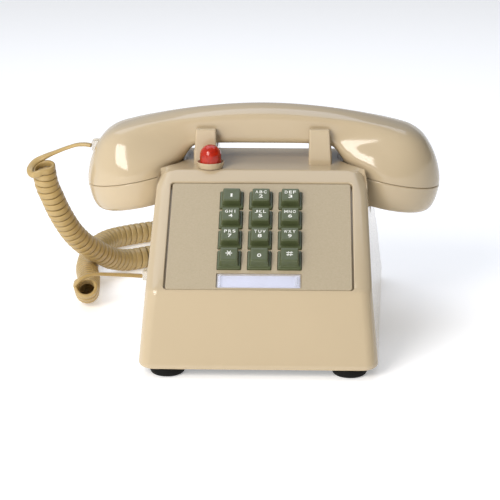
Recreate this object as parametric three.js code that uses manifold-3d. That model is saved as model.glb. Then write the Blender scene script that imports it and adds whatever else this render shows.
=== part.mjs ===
// Corded push-button desk telephone, in millimetres, +Z up.
// Origin: middle of the footprint on the desk. +X is the user's right, -Y faces the user.
import * as THREE from "three";
import { mergeVertices } from "three/addons/utils/BufferGeometryUtils.js";
import Module from "manifold-3d";

const wasm = await Module();
wasm.setup();

// ---- driving dimensions ----
const GAP = 0.3;                  // clearance between pieces that rest on each other
const WALL = 2.7;                 // moulded wall of the housing
const DEPTH = 200;                // footprint, front to back
const FOOT_HEIGHT = 5;            // desk to underside
const BASE_HALF_WIDTH = 68.5;     // housing half width at the underside
const SIDE_DRAFT = 0.105;         // the sides lean in by this much per mm of height
const SIDE_FLARE = 0.00079;       // and spread by this share of the width per mm towards the back
const CREASE_Y = -88.9;           // lower edge of the sloping face
const CREASE_Z = 48.9;
const FACE_SLOPE = THREE.MathUtils.degToRad(33.3);
const RIM_Z = 99.2;               // upper edge of the sloping face
const TOP_Z = 100.5;              // flat top under the handset
const TOP_REAR_Y = 53;            // the back starts to fall away here
const REAR_KNEE_Z = 35;           // and turns upright here
const REAR_KNEE_Y = 97;
const SHOULDER_RADIUS = 11;       // rounding along the top's left and right edges
const CORNER_RADIUS = 7;          // upright corners
const FACE_WALL = 5.4;            // thickened wall around the faceplate

const PLATE_HALF_WIDTH = 53.4;    // faceplate
const PLATE_LOW = 1.4;            // distances up the slope from the crease
const PLATE_HIGH = 83.4;
const PLATE_THICK = 2.4;
const PLATE_SUNK = 0.5;           // below the face around it
const SLOT = 1.0;                 // open slot around the faceplate
const LEDGE = 2.6;                // what the faceplate rests on

const KEY_PITCH_X = 17.46;        // 11/16 inch
const KEY_PITCH_S = 15.49;
const KEY_ROW_LOW = 22.84;        // bottom row, up the slope
const KEY_SIZE = 13.6;
const KEY_TRAVEL = 3;
const KEY_NAMES = [
  ["key_star", "key_0", "key_hash"],
  ["key_7", "key_8", "key_9"],
  ["key_4", "key_5", "key_6"],
  ["key_1", "key_2", "key_3"],
];

const CARD_S = 8.1;               // designation card, up the slope
const CARD_HALF_WIDTH = 24;
const CARD_HALF_HEIGHT = 4.9;

const HANDSET_Y = 28;             // middle of the handset, front to back
const CUP_X = 80;                 // centre of each cup's joint with its cap
const CUP_Z = 90;
const CUP_RADIUS = 31;
const CUP_TILT = THREE.MathUtils.degToRad(11);
const HANDLE_HALF_WIDTH = 16.2;
const HANDSET_WALL = 2.6;

const POST_X = 35.3;              // cradle posts
const POST_FRONT = 4.8;
const POST_THICK = 6.4;
const POST_TOP = 122.1;
const SADDLE_TOP = 108.7;
const PLUNGER_RADIUS = 4;

const LAMP_X = -31.4;
const LAMP_Y = -4.2;

const CORD_WIDTH = 4.2;           // flat handset cord
const COIL_RADIUS = 7.5;          // outside of the curled cord
const JACK_Y = 40;                // handset cord's socket in the left side
const JACK_Z = 18.5;

// ---- finishes ----
const finish = (color, roughness, metalness = 0) =>
  new THREE.MeshStandardMaterial({ color, roughness, metalness });
const SAND = finish("#d3c2a1", 0.25);
const SAND_FINE = finish("#cdbd9d", 0.55);
const OLIVE = finish("#59604a", 0.35);
const RUBBER = finish("#161616", 0.85);
const STEEL = finish("#a9adb0", 0.4, 0.9);
const PAINTED = finish("#3c3d3b", 0.6, 0.3);
const BRASS = finish("#b08b45", 0.35, 0.9);
const BLACK = finish("#1d1d1c", 0.5);
const GREEN = finish("#2f5a35", 0.6);
const PAPER = finish("#dcdde8", 0.8);
const CLEAR = finish("#e8eaf0", 0.1);
const RED = finish("#c4321c", 0.15);
const CORD = finish("#c8b184", 0.45);
const WINDING = finish("#8c4a25", 0.5);

// ---- solids ----
function solid(geometry) {
  const bare = geometry.clone();
  bare.deleteAttribute("normal");
  bare.deleteAttribute("uv");
  const merged = mergeVertices(bare, 1e-3);
  return new wasm.Manifold(new wasm.Mesh({
    numProp: 3,
    vertProperties: new Float32Array(merged.attributes.position.array),
    triVerts: new Uint32Array(merged.index.array),
  }));
}

function shape(manifold) {
  const mesh = manifold.getMesh();
  const geometry = new THREE.BufferGeometry();
  geometry.setAttribute("position", new THREE.BufferAttribute(mesh.vertProperties, 3));
  geometry.setIndex(new THREE.BufferAttribute(mesh.triVerts, 1));
  return geometry;
}

const join = (first, ...rest) => rest.reduce((sum, next) => sum.add(solid(next)), first);
const cut = (first, ...rest) => rest.reduce((left, next) => left.subtract(solid(next)), first);

// A box from its lowest to its highest corner.
function block(low, high) {
  const size = high.map((value, axis) => value - low[axis]);
  const middle = high.map((value, axis) => (value + low[axis]) / 2);
  return new THREE.BoxGeometry(...size).translate(...middle);
}

// An upright turned piece: the profile is a list of [radius, height].
function turned(profile, segments = 20) {
  const points = profile.map(([radius, height]) => new THREE.Vector2(radius, height));
  return new THREE.LatheGeometry(points, segments).rotateX(Math.PI / 2);
}

function rod(radius, low, high, segments = 16) {
  return turned([[0, low], [radius, low], [radius, high], [0, high]], segments);
}

// A closed skin over a stack of rings that all have the same number of points.
function loft(rings) {
  const count = rings[0].length;
  const positions = rings.flat().flatMap((point) => [point.x, point.y, point.z]);
  const indices = [];
  for (let level = 0; level + 1 < rings.length; level++) {
    for (let i = 0; i < count; i++) {
      const a = level * count + i;
      const b = level * count + (i + 1) % count;
      indices.push(a, b, b + count, a, b + count, a + count);
    }
  }
  for (const [level, flip] of [[0, true], [rings.length - 1, false]]) {
    const hub = positions.length / 3;
    const middle = rings[level].reduce((sum, point) => sum.clone().add(point), new THREE.Vector3());
    middle.divideScalar(count);
    positions.push(middle.x, middle.y, middle.z);
    for (let i = 0; i < count; i++) {
      const a = level * count + i;
      const b = level * count + (i + 1) % count;
      indices.push(...(flip ? [hub, b, a] : [hub, a, b]));
    }
  }
  const geometry = new THREE.BufferGeometry();
  geometry.setAttribute("position", new THREE.BufferAttribute(new Float32Array(positions), 3));
  geometry.setIndex(indices);
  return geometry;
}

// A level ring: a rectangle with rounded corners, anticlockwise from above.
function roundedRing(halfWidth, front, rear, radius, z, steps = 3) {
  const corners = [
    [halfWidth - radius, front + radius, -Math.PI / 2],
    [halfWidth - radius, rear - radius, 0],
    [-halfWidth + radius, rear - radius, Math.PI / 2],
    [-halfWidth + radius, front + radius, Math.PI],
  ];
  return corners.flatMap(([x, y, start]) =>
    Array.from({ length: steps + 1 }, (_, i) => {
      const angle = start + (i / steps) * Math.PI / 2;
      return new THREE.Vector3(x + radius * Math.cos(angle), y + radius * Math.sin(angle), z);
    }));
}

// A round tube along a smooth curve through the points.
function tube(points, radius, sides, steps) {
  const path = new THREE.CatmullRomCurve3(points.map((point) => new THREE.Vector3(...point)));
  const section = new THREE.Shape();
  for (let i = 0; i < sides; i++) {
    const angle = (i / sides) * 2 * Math.PI;
    const x = radius * Math.cos(angle);
    const y = radius * Math.sin(angle);
    if (i === 0) section.moveTo(x, y);
    else section.lineTo(x, y);
  }
  section.closePath();
  return new THREE.ExtrudeGeometry(section, { extrudePath: path, steps, curveSegments: 1 });
}

const phone = new THREE.Group();

function add(name, geometry, material, parent = phone) {
  const mesh = new THREE.Mesh(geometry, material);
  mesh.name = name;
  parent.add(mesh);
  return mesh;
}

// ---- housing: one moulded shell, open underneath ----
const SLOPE_RUN = 1 / Math.tan(FACE_SLOPE);

const leanAt = (z) => -DEPTH / 2 + (CREASE_Y + DEPTH / 2) * (z - FOOT_HEIGHT) / (CREASE_Z - FOOT_HEIGHT);
const slopeAt = (z) => CREASE_Y + (z - CREASE_Z) * SLOPE_RUN;

function rearAt(z) {
  if (z < REAR_KNEE_Z) {
    return DEPTH / 2 + (REAR_KNEE_Y - DEPTH / 2) * (z - FOOT_HEIGHT) / (REAR_KNEE_Z - FOOT_HEIGHT);
  }
  return REAR_KNEE_Y + (TOP_REAR_Y - REAR_KNEE_Y) * (z - REAR_KNEE_Z) / (TOP_Z - REAR_KNEE_Z);
}

// One level of the body, drawn in by an inset: its side draft and flare, shoulder and sloping face.
function bodyRing(z, inset, faceInset) {
  const top = TOP_Z - inset;
  const shoulder = SHOULDER_RADIUS - inset;
  const above = Math.max(0, z - (top - shoulder));
  const rounding = shoulder - Math.sqrt(Math.max(0, shoulder ** 2 - above ** 2));
  const halfWidth = BASE_HALF_WIDTH - SIDE_DRAFT * (z - FOOT_HEIGHT) - inset - rounding;
  const front = Math.max(leanAt(z) + inset, slopeAt(z) + faceInset / Math.sin(FACE_SLOPE));
  const ring = roundedRing(halfWidth, front, rearAt(z) - inset * 1.2, CORNER_RADIUS - inset / 2, z);
  return ring.map((point) => point.setX(point.x * (1 + SIDE_FLARE * (point.y + DEPTH / 2))));
}

const OUTER_LEVELS = [5, 25, REAR_KNEE_Z, CREASE_Z, 65, 80, 89.5, 94, 97.5, RIM_Z, TOP_Z];
const INNER_LEVELS = [4, 25, REAR_KNEE_Z, 43.5, 65, 80, 89.5, 94, 96.5, 97.8];
const outerBody = solid(loft(OUTER_LEVELS.map((z) => bodyRing(z, 0, 0))));
const innerBody = solid(loft(INNER_LEVELS.map((z) => bodyRing(z, WALL, FACE_WALL))));

// Frame of one cup: its axis stands on the joint with the cap and leans outwards.
function cupFrame(side) {
  const turn = new THREE.Matrix4().makeRotationY(side * CUP_TILT);
  return new THREE.Matrix4().makeTranslation(side * CUP_X, HANDSET_Y, CUP_Z).multiply(turn);
}

// Scoops in the sides, where the handset's cups hang. They widen towards the top.
function scoop(side, extra) {
  const radius = CUP_RADIUS + 3.2 + extra;
  const floor = -21 - extra;
  const profile = [[0, floor], [radius - 5, floor], [radius, floor + 6], [radius, 0], [radius + 8, 13],
    [radius + 8, 50], [0, 50]];
  return turned(profile, 32).applyMatrix4(cupFrame(side));
}

let shell = cut(outerBody, scoop(-1, 0), scoop(1, 0));
shell = shell.subtract(cut(innerBody, scoop(-1, WALL), scoop(1, WALL)));

// Cradle: two pairs of tapered posts, with a saddle between each pair.
function post(side, front) {
  const foot = [28.2, 42.4, 97.8, 0];
  const head = [28.5, 40.9, POST_TOP, 0.4];
  const rings = [foot, head].map(([near, far, z, draw]) => {
    const ring = roundedRing((far - near) / 2, front + draw, front + POST_THICK - draw, 0.8, z, 2);
    return ring.map((point) => point.setX(point.x + side * (near + far) / 2));
  });
  return loft(rings);
}

const POST_REAR = 2 * HANDSET_Y - POST_FRONT - POST_THICK;
for (const side of [-1, 1]) {
  const saddleX = [side * 28.2, side * 42.4].sort((a, b) => a - b);
  shell = join(shell, post(side, POST_FRONT), post(side, POST_REAR),
    block([saddleX[0], POST_FRONT + 2, 97.8], [saddleX[1], POST_REAR + 3, SADDLE_TOP]));
}

// Screw bosses at the back.
const BOSS_X = 36;
const BOSS_Y = 80;
const PLATE_TOP = FOOT_HEIGHT + 2;
for (const side of [-1, 1]) {
  shell = join(shell, rod(4, PLATE_TOP + GAP, 52, 12).translate(side * BOSS_X, BOSS_Y, 0));
}

// Everything on the face is built lying flat and then turned up by the slope.
const faceMatrix = new THREE.Matrix4().makeTranslation(0, CREASE_Y, CREASE_Z)
  .multiply(new THREE.Matrix4().makeRotationX(FACE_SLOPE));
const faceBlock = (low, high) => block(low, high).applyMatrix4(faceMatrix);
const rebate = PLATE_SUNK + PLATE_THICK + GAP;
const JACK_HALF = 5;
shell = cut(shell,
  faceBlock([-PLATE_HALF_WIDTH - SLOT, PLATE_LOW - 0.4, -rebate],
    [PLATE_HALF_WIDTH + SLOT, PLATE_HIGH + 0.4, 3]),
  faceBlock([-PLATE_HALF_WIDTH + LEDGE, PLATE_LOW + LEDGE, -12],
    [PLATE_HALF_WIDTH - LEDGE, PLATE_HIGH - LEDGE, 3]),
  rod(4.8, 84, 102).translate(LAMP_X, LAMP_Y, 0),
  block([-84, JACK_Y - JACK_HALF, JACK_Z - JACK_HALF], [-60, JACK_Y + JACK_HALF, JACK_Z + JACK_HALF]),
  block([-7.4, 90, 12], [7.4, 105, 24]));
for (const side of [-1, 1]) {
  shell = cut(shell,
    rod(PLUNGER_RADIUS + GAP, 90, 112).translate(side * POST_X, HANDSET_Y, 0),
    rod(1.6, 4, 20, 10).translate(side * BOSS_X, BOSS_Y, 0));
}
add("housing", shape(shell), SAND);

// ---- base plate with the volume wheel's ears, and its feet and screws ----
const WHEEL = { x: 50, y: -12, z: 12, radius: 10.6 };
const baseRing = (z) => bodyRing(PLATE_TOP, WALL + GAP, 0).map((point) => point.setZ(z));
let basePlate = solid(loft([baseRing(FOOT_HEIGHT), baseRing(PLATE_TOP)]));
for (const edge of [-7, 5.5]) {
  basePlate = join(basePlate,
    block([WHEEL.x - 4, WHEEL.y + edge, 6], [WHEEL.x + 4, WHEEL.y + edge + 1.5, 16]));
}
basePlate = cut(basePlate,
  block([WHEEL.x - 10.5, WHEEL.y - 3, 4], [WHEEL.x + 10.5, WHEEL.y + 3, 8]),
  rod(1.9, -8, 8, 10).rotateX(Math.PI / 2).translate(WHEEL.x, WHEEL.y, WHEEL.z));
for (const side of [-1, 1]) {
  basePlate = cut(basePlate, rod(2, 4, 8, 10).translate(side * BOSS_X, BOSS_Y, 0));
}
add("base_plate", shape(basePlate), PAINTED);

const wheel = turned([[0, -6.6], [1.6, -6.6], [1.6, -2.4], [WHEEL.radius, -2.4],
  [WHEEL.radius, 2.4], [1.6, 2.4], [1.6, 6.6], [0, 6.6]], 20);
add("volume_wheel", wheel.rotateX(Math.PI / 2).translate(WHEEL.x, WHEEL.y, WHEEL.z), BLACK);

const FOOT_PROFILE = [[0, 0], [8.2, 0], [9.7, 1], [10.3, 2.8], [10.3, FOOT_HEIGHT - GAP], [0, FOOT_HEIGHT - GAP]];
for (const [side, hand] of [[-1, "left"], [1, "right"]]) {
  add(`foot_front_${hand}`, turned(FOOT_PROFILE, 18).translate(side * 52.3, -89.2, 0), RUBBER);
  add(`foot_rear_${hand}`, turned(FOOT_PROFILE, 18).translate(side * 52.3, 84, 0), RUBBER);
  const screw = turned([[0, 3], [3.4, 3], [3.4, FOOT_HEIGHT - GAP], [1.3, FOOT_HEIGHT - GAP],
    [1.3, 16], [0, 16]], 12);
  add(`housing_screw_${hand}`, screw.translate(side * BOSS_X, BOSS_Y, 0), STEEL);
}

// ---- faceplate, card and keys, in the sloping frame ----
const face = new THREE.Group();
face.position.set(0, CREASE_Y, CREASE_Z);
face.rotation.x = FACE_SLOPE;
phone.add(face);

const keyPlaces = KEY_NAMES.flatMap((row, r) => row.map((name, c) => ({
  name,
  x: (c - 1) * KEY_PITCH_X,
  s: KEY_ROW_LOW + r * KEY_PITCH_S,
})));

const plateTop = -PLATE_SUNK;
let plate = solid(block([-PLATE_HALF_WIDTH, PLATE_LOW, plateTop - PLATE_THICK],
  [PLATE_HALF_WIDTH, PLATE_HIGH, plateTop]));
const holeHalf = KEY_SIZE / 2 + GAP;
for (const { x, s } of keyPlaces) {
  plate = cut(plate, block([x - holeHalf, s - holeHalf, -9], [x + holeHalf, s + holeHalf, 3]));
}
const cardPocket = plateTop - 1.7;
plate = cut(plate, block(
  [-CARD_HALF_WIDTH - 0.5, CARD_S - CARD_HALF_HEIGHT - 0.5, cardPocket],
  [CARD_HALF_WIDTH + 0.5, CARD_S + CARD_HALF_HEIGHT + 0.5, 3]));
add("faceplate", shape(plate), SAND_FINE, face);

add("designation_card", block(
  [-CARD_HALF_WIDTH + 0.6, CARD_S - CARD_HALF_HEIGHT + 0.4, cardPocket + 0.1],
  [CARD_HALF_WIDTH - 0.6, CARD_S + CARD_HALF_HEIGHT - 0.4, cardPocket + 0.4]), PAPER, face);
add("designation_window", block(
  [-CARD_HALF_WIDTH, CARD_S - CARD_HALF_HEIGHT, cardPocket + 0.7],
  [CARD_HALF_WIDTH, CARD_S + CARD_HALF_HEIGHT, plateTop + 0.5]), CLEAR, face);

// A key: stem, square skirt, ledge and a smaller raised cap that leans back.
function keyShape(x, s) {
  const levels = [
    [2.6, 2.6, 0, -9], [2.6, 2.6, 0, -5], [6.8, 6.8, 0, -5], [6.8, 6.8, 0, 0.6],
    [5.7, 5.6, 0.3, 1.1], [4.9, 4.2, 0.7, 5],
  ];
  return loft(levels.map(([halfX, halfS, shift, z]) =>
    roundedRing(halfX, -halfS, halfS, 0.5, z, 1).map((p) => p.add(new THREE.Vector3(x, s + shift, 0)))));
}
for (const { name, x, s } of keyPlaces) add(name, keyShape(x, s), OLIVE, face);

const padTop = -9 - KEY_TRAVEL - GAP;
const padMiddle = KEY_ROW_LOW + 1.5 * KEY_PITCH_S;
add("keypad_frame", block([-28, padMiddle - 33, padTop - 7], [28, padMiddle + 33, padTop]), BLACK, face);
add("keypad_board", block([-27, padMiddle - 32, padTop - 8.9], [27, padMiddle + 32, padTop - 7.3]), GREEN, face);

// ---- message lamp on the top, in front of the left post ----
const collar = [[6.9, 0.3], [7.4, 0.3], [8.1, 2], [8.4, 4], [7.5, 4], [6.9, 2.4]];
add("lamp_collar", turned([...collar, collar[0]], 20).translate(LAMP_X, LAMP_Y, TOP_Z), SAND);

function dome(radius, wall, base, spring) {
  const steps = 4;
  const arc = (r) => Array.from({ length: steps + 1 }, (_, i) => {
    const angle = (i / steps) * Math.PI / 2;
    return [r * Math.cos(angle), spring + r * Math.sin(angle)];
  });
  const outer = arc(radius);
  const inner = arc(radius - wall).reverse();
  outer[steps][0] = 0;
  inner[0][0] = 0;
  return [...inner, [radius - wall, base], [radius, base], ...outer];
}
add("lamp_lens", turned(dome(6.5, 1.1, 0.3, 7.8), 18).translate(LAMP_X, LAMP_Y, TOP_Z), RED);
add("lamp_bulb", turned([[0, -9], [3.2, -9], [3.2, 4], [2, 8], [0, 9]], 12)
  .translate(LAMP_X, LAMP_Y, TOP_Z), CLEAR);

// ---- hook switch: plungers, lever, bracket and contacts ----
const PLUNGER_FOOT = 84;
for (const [side, hand] of [[-1, "left"], [1, "right"]]) {
  const profile = [[0, PLUNGER_FOOT], [PLUNGER_RADIUS, PLUNGER_FOOT], [PLUNGER_RADIUS, 109.4],
    [PLUNGER_RADIUS - 0.8, 110.2], [0, 110.2]];
  add(`plunger_${hand}`, turned(profile, 16).translate(side * POST_X, HANDSET_Y, 0), BLACK);
}

const PIVOT_Y = 52;
const PIVOT_Z = 79.5;
const leverTop = PLUNGER_FOOT - GAP;
let lever = join(solid(block([-40, 48, leverTop - 1.5], [40, 58, leverTop])),
  block([-40, 22, leverTop - 1.5], [-31, 49, leverTop]),
  block([31, 22, leverTop - 1.5], [40, 49, leverTop]),
  rod(1.6, -28, 28, 10).rotateY(Math.PI / 2).translate(0, PIVOT_Y, PIVOT_Z));
for (const x of [-28, 25]) {
  lever = join(lever, block([x, 49.5, 77.5], [x + 3, 54.5, leverTop - 1]));
}
add("hook_lever", shape(lever), STEEL);

let bracket = join(solid(block([-24, 49, 58], [24, 55, 60])),
  block([-6, 50, PLATE_TOP + GAP], [6, 54, 59]),
  block([-22, 49, 59], [-20, 55, 81]),
  block([20, 49, 59], [22, 55, 81]));
bracket = cut(bracket, rod(1.9, -30, 30, 10).rotateY(Math.PI / 2).translate(0, PIVOT_Y, PIVOT_Z));
add("hook_switch_bracket", shape(bracket), STEEL);
add("hook_switch_contacts", block([-15, 38, 60], [15, 48.5, 77]), BLACK);

// ---- ringer: frame with pivot pin and gong stands, coil, clapper, two gongs ----
const GONG_X = 28;
const GONG_Y = -50;
const CLAPPER_Y = -27;
let ringer = join(solid(block([-36, -57, PLATE_TOP + GAP], [36, 0, 9])),
  block([-18, -22, 8], [-16.5, -2, 33]),
  block([16.5, -22, 8], [18, -2, 33]),
  rod(1.2, 8, 26, 8).translate(0, CLAPPER_Y, 0));
for (const side of [-1, 1]) {
  ringer = join(ringer, rod(3, 8, 25.4, 12).translate(side * GONG_X, GONG_Y, 0));
  ringer = cut(ringer, rod(1.7, 16, 27, 8).translate(side * GONG_X, GONG_Y, 0));
}
add("ringer_frame", shape(ringer), STEEL);
add("ringer_coil", rod(9, -16.2, 16.2, 20).rotateY(Math.PI / 2).translate(0, -12, 21), WINDING);

const gong = [[1.8, 27], [9, 26.4], [16, 23.6], [19.4, 19.5], [20, 15], [18.8, 15], [18.2, 19],
  [15.3, 22.5], [8.8, 25.2], [1.8, 25.8]];
for (const [side, hand] of [[-1, "left"], [1, "right"]]) {
  add(`gong_${hand}`, turned([...gong, gong[0]].reverse(), 20).translate(side * GONG_X, GONG_Y, 0), BRASS);
  const screw = turned([[0, 18], [1.3, 18], [1.3, 27 + GAP], [3.6, 27 + GAP], [3.2, 29], [0, 29.2]], 12);
  add(`gong_screw_${hand}`, screw.translate(side * GONG_X, GONG_Y, 0), STEEL);
}

let clapper = join(solid(rod(3, 17, 23, 14).translate(0, CLAPPER_Y, 0)),
  block([-1, -47, 19], [1, -29, 21]),
  new THREE.SphereGeometry(5, 12, 7).translate(0, GONG_Y, 20));
clapper = cut(clapper, rod(1.5, 10, 30, 8).translate(0, CLAPPER_Y, 0));
add("clapper", shape(clapper), BRASS);

// ---- network block and the two sockets ----
add("network_block", block([11, 5, PLATE_TOP + GAP], [53, 66, 33]), BLACK);

const PLUG_HALF = 3.9;
const plugBox = (low, high, grow) => block(
  [low, JACK_Y - PLUG_HALF - grow, JACK_Z - PLUG_HALF - grow],
  [high, JACK_Y + PLUG_HALF + grow, JACK_Z + PLUG_HALF + grow]);
const handsetJack = cut(solid(block([-69.8, JACK_Y - 8, JACK_Z - 7.5], [-48, JACK_Y + 8, JACK_Z + 8])),
  plugBox(-76, -54, GAP));
add("handset_jack", shape(handsetJack), BLACK);

const lineJack = cut(solid(block([-9, 76, 9.5], [9, 94.2, 26])), block([-5.4, 80, 14], [5.4, 100, 22]));
add("line_jack", shape(lineJack), BLACK);

// ---- handset: hollow shell swept from cup to cup ----
// Outer and inner edges of the middle section, from the handle's middle to the joint with the cap.
const cupEdge = (reach) => [CUP_X + reach * Math.cos(CUP_TILT), CUP_Z - reach * Math.sin(CUP_TILT)];
const OUTER_EDGE = [[0, 134], [20, 133.3], [40, 131.4], [56, 129], [71, 126], [84, 122.8], [94, 119.6],
  [101, 114.5], [105.6, 107], [108.6, 98.5], [110.3, 90], cupEdge(CUP_RADIUS)];
const INNER_EDGE = [[0, 111.2], [17, 111.2], [32, 111], [38, 110.6], [42.4, 109.5], [45, 107.2],
  [46.8, 104.6], [48.2, 102.2], [49.1, 100.2], [49.5, 98.6], [49.6, 97.2], cupEdge(-CUP_RADIUS)];

// One section between an outer and an inner edge point: a squared oval, squarest underneath, that turns
// round at the cup.
function handsetRing(outer, inner, progress, side, inset) {
  const [ox, oz] = outer;
  const [ix, iz] = inner;
  const length = Math.hypot(ox - ix, oz - iz);
  const [ux, uz] = [(ox - ix) / length, (oz - iz) / length];
  const swell = THREE.MathUtils.smoothstep(progress, 0.2, 0.92);
  const halfWidth = THREE.MathUtils.lerp(HANDLE_HALF_WIDTH, CUP_RADIUS, swell) - inset;
  const halfHeight = length / 2 - inset;
  const upperPower = 2 / THREE.MathUtils.lerp(3.4, 2, swell);
  const lowerPower = 2 / THREE.MathUtils.lerp(5, 2, swell);
  const count = 18;
  return Array.from({ length: count }, (_, i) => {
    const angle = side * (i / count) * 2 * Math.PI;
    const power = Math.sin(angle) > 0 ? upperPower : lowerPower;
    const across = Math.sign(Math.cos(angle)) * Math.abs(Math.cos(angle)) ** power * halfWidth;
    const up = Math.sign(Math.sin(angle)) * Math.abs(Math.sin(angle)) ** power * halfHeight;
    return new THREE.Vector3(side * ((ox + ix) / 2 + ux * up), HANDSET_Y + across, (oz + iz) / 2 + uz * up);
  });
}

function handsetSkin(inset, overrun) {
  const half = (side) => OUTER_EDGE.map((outer, i) =>
    handsetRing(outer, INNER_EDGE[i], i / (OUTER_EDGE.length - 1), side, inset));
  const down = (side) => new THREE.Vector3(-side * Math.sin(CUP_TILT), 0, -Math.cos(CUP_TILT));
  const extend = (rings, side) => {
    const last = rings[rings.length - 1];
    return overrun ? [...rings, last.map((p) => p.clone().addScaledVector(down(side), overrun))] : rings;
  };
  // Mirrored rings run the other way round, so they are reordered to match the right-hand ones.
  const right = extend(half(1), 1);
  const left = extend(half(-1), -1);
  const matched = left.map((ring) => ring.map((_, i) => ring[(ring.length - i) % ring.length]));
  return loft([...matched.slice(1).reverse(), ...right]);
}

let handset = solid(handsetSkin(0, 0)).subtract(solid(handsetSkin(HANDSET_WALL, 2)));
const HANDSET_PLUG = { z: 107.2, inner: -95, outer: -107.6, half: 3.8 };
const handsetPlug = (low, high, grow) => block(
  [low, HANDSET_Y - HANDSET_PLUG.half - grow, HANDSET_PLUG.z - HANDSET_PLUG.half - grow],
  [high, HANDSET_Y + HANDSET_PLUG.half + grow, HANDSET_PLUG.z + HANDSET_PLUG.half + grow]);
handset = cut(handset, handsetPlug(-115, -90, GAP));
add("handset_shell", shape(handset), SAND);
add("handset_weight", rod(6, -30, 30, 14).rotateY(Math.PI / 2).translate(0, HANDSET_Y, 122), STEEL);

// Caps screw into the cups; the capsules sit inside them.
const CAP = [[0, -17.3], [24.5, -18], [27.3, -17], [29.3, -14.2], [30.5, -9.8], [31, -4], [31, -GAP],
  [27, -GAP], [27, 3.5], [25.2, 3.5], [25.2, -12], [23, -14.6], [0, -14.6]];
const CAPSULE = [[0, -13.2], [22.6, -13.2], [24.8, -10.8], [24.8, 3.5], [16, 4.2], [0, 4.2]];
for (const [side, cap, capsule] of [
  [-1, "transmitter_cap", "transmitter_unit"],
  [1, "receiver_cap", "receiver_unit"],
]) {
  add(cap, turned(CAP, 26).applyMatrix4(cupFrame(side)), SAND);
  add(capsule, turned(CAPSULE, 20).applyMatrix4(cupFrame(side)), STEEL);
}
add("transmitter_cup", rod(21, 4.6, 9, 20).applyMatrix4(cupFrame(-1)), BLACK);

// ---- handset cord: two plugs, two straight leads and the curled length between them ----
add("cord_plug_handset", handsetPlug(HANDSET_PLUG.outer, HANDSET_PLUG.inner, 0), CLEAR);
add("cord_plug_base", plugBox(-78.5, -54.5, 0), CLEAR);

const COIL_ROUTE = [
  [-139.2, 30, 92.5], [-138.2, 35.2, 79.5], [-135.6, 39.5, 70], [-133.1, 44, 61], [-129.6, 50.5, 50.6],
  [-125.6, 57.5, 41], [-120.3, 65.5, 32], [-114, 75.5, 24], [-109.4, 84.5, 18.2], [-105.2, 93.5, 13],
  [-96.3, 106.5, 8], [-82.9, 116, 7.6], [-66, 126.5, 7.6], [-47, 137, 7.6], [-31, 150, 7.6],
  [-24.5, 166, 7.6], [-31, 182, 7.6], [-48, 190, 7.6], [-68, 188, 7.6], [-87, 180, 7.6],
  [-107.4, 166, 7.6], [-116.5, 154, 7.6], [-121.5, 136, 7.6], [-122.6, 115, 7.6], [-121.9, 95, 7.6],
  [-120.3, 81, 7.6], [-117.4, 66, 7.6], [-115.6, 52, 7.6], [-114.6, 41, 7.6], [-114, 33, 8.2],
  [-113.7, 27, 11.2], [-113.5, 21.5, 15.6],
];
add("cord_coil", tube(COIL_ROUTE, COIL_RADIUS, 10, 48), CORD);

const HANDSET_LEAD_ROUTE = [
  [HANDSET_PLUG.outer - 2 * GAP, HANDSET_Y, 106.6], [-112, 28.5, 106.9], [-117.5, 30, 106.4],
  [-124, 32.3, 104], [-131, 35, 101.2], [-137.5, 37.2, 98.6],
];
add("cord_lead_handset", tube(HANDSET_LEAD_ROUTE, CORD_WIDTH / 2, 8, 14), CORD);

const BASE_LEAD_ROUTE = [
  [-79.1, JACK_Y, 17.3], [-83.5, 38.8, 17.9], [-91.2, 34.5, 19.6], [-99, 29.5, 21.4], [-105.5, 25.2, 23.4],
];
add("cord_lead_base", tube(BASE_LEAD_ROUTE, CORD_WIDTH / 2, 8, 12), CORD);

export default phone;
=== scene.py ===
"""Corded push-button desk telephone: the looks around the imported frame.

Lengths in this file are in millimetres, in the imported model's frame, and add_piece turns them into metres.
"""

import math

import bmesh
import bpy
import numpy as np
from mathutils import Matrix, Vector


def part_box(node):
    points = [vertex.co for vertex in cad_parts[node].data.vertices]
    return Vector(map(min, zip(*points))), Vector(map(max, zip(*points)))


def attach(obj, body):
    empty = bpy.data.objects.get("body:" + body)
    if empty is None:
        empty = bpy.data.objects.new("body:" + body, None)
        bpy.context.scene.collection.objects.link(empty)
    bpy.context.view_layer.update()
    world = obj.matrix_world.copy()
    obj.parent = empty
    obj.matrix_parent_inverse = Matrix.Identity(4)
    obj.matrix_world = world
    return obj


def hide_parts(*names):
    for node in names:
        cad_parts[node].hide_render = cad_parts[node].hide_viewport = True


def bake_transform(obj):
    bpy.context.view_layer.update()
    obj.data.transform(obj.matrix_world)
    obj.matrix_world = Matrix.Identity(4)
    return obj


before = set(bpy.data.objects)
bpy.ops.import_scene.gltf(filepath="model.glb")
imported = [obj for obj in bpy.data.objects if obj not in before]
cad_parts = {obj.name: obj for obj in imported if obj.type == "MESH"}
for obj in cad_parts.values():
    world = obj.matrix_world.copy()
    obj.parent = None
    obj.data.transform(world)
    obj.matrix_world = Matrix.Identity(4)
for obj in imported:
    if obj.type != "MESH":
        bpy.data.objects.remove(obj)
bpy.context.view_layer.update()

# ---- Camera --------------------------------------------------------------------------------------------
# A long lens about a metre away, a little above the telephone, looking down on its sloping face.
# It stands a touch to the right of the middle line.
LOOK_AT = Vector((0, 0, 0.060))
CAMERA_DISTANCE = 1.02506
CAMERA_RISE = math.radians(15.68)
CAMERA_TURN = math.radians(1.47)

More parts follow.
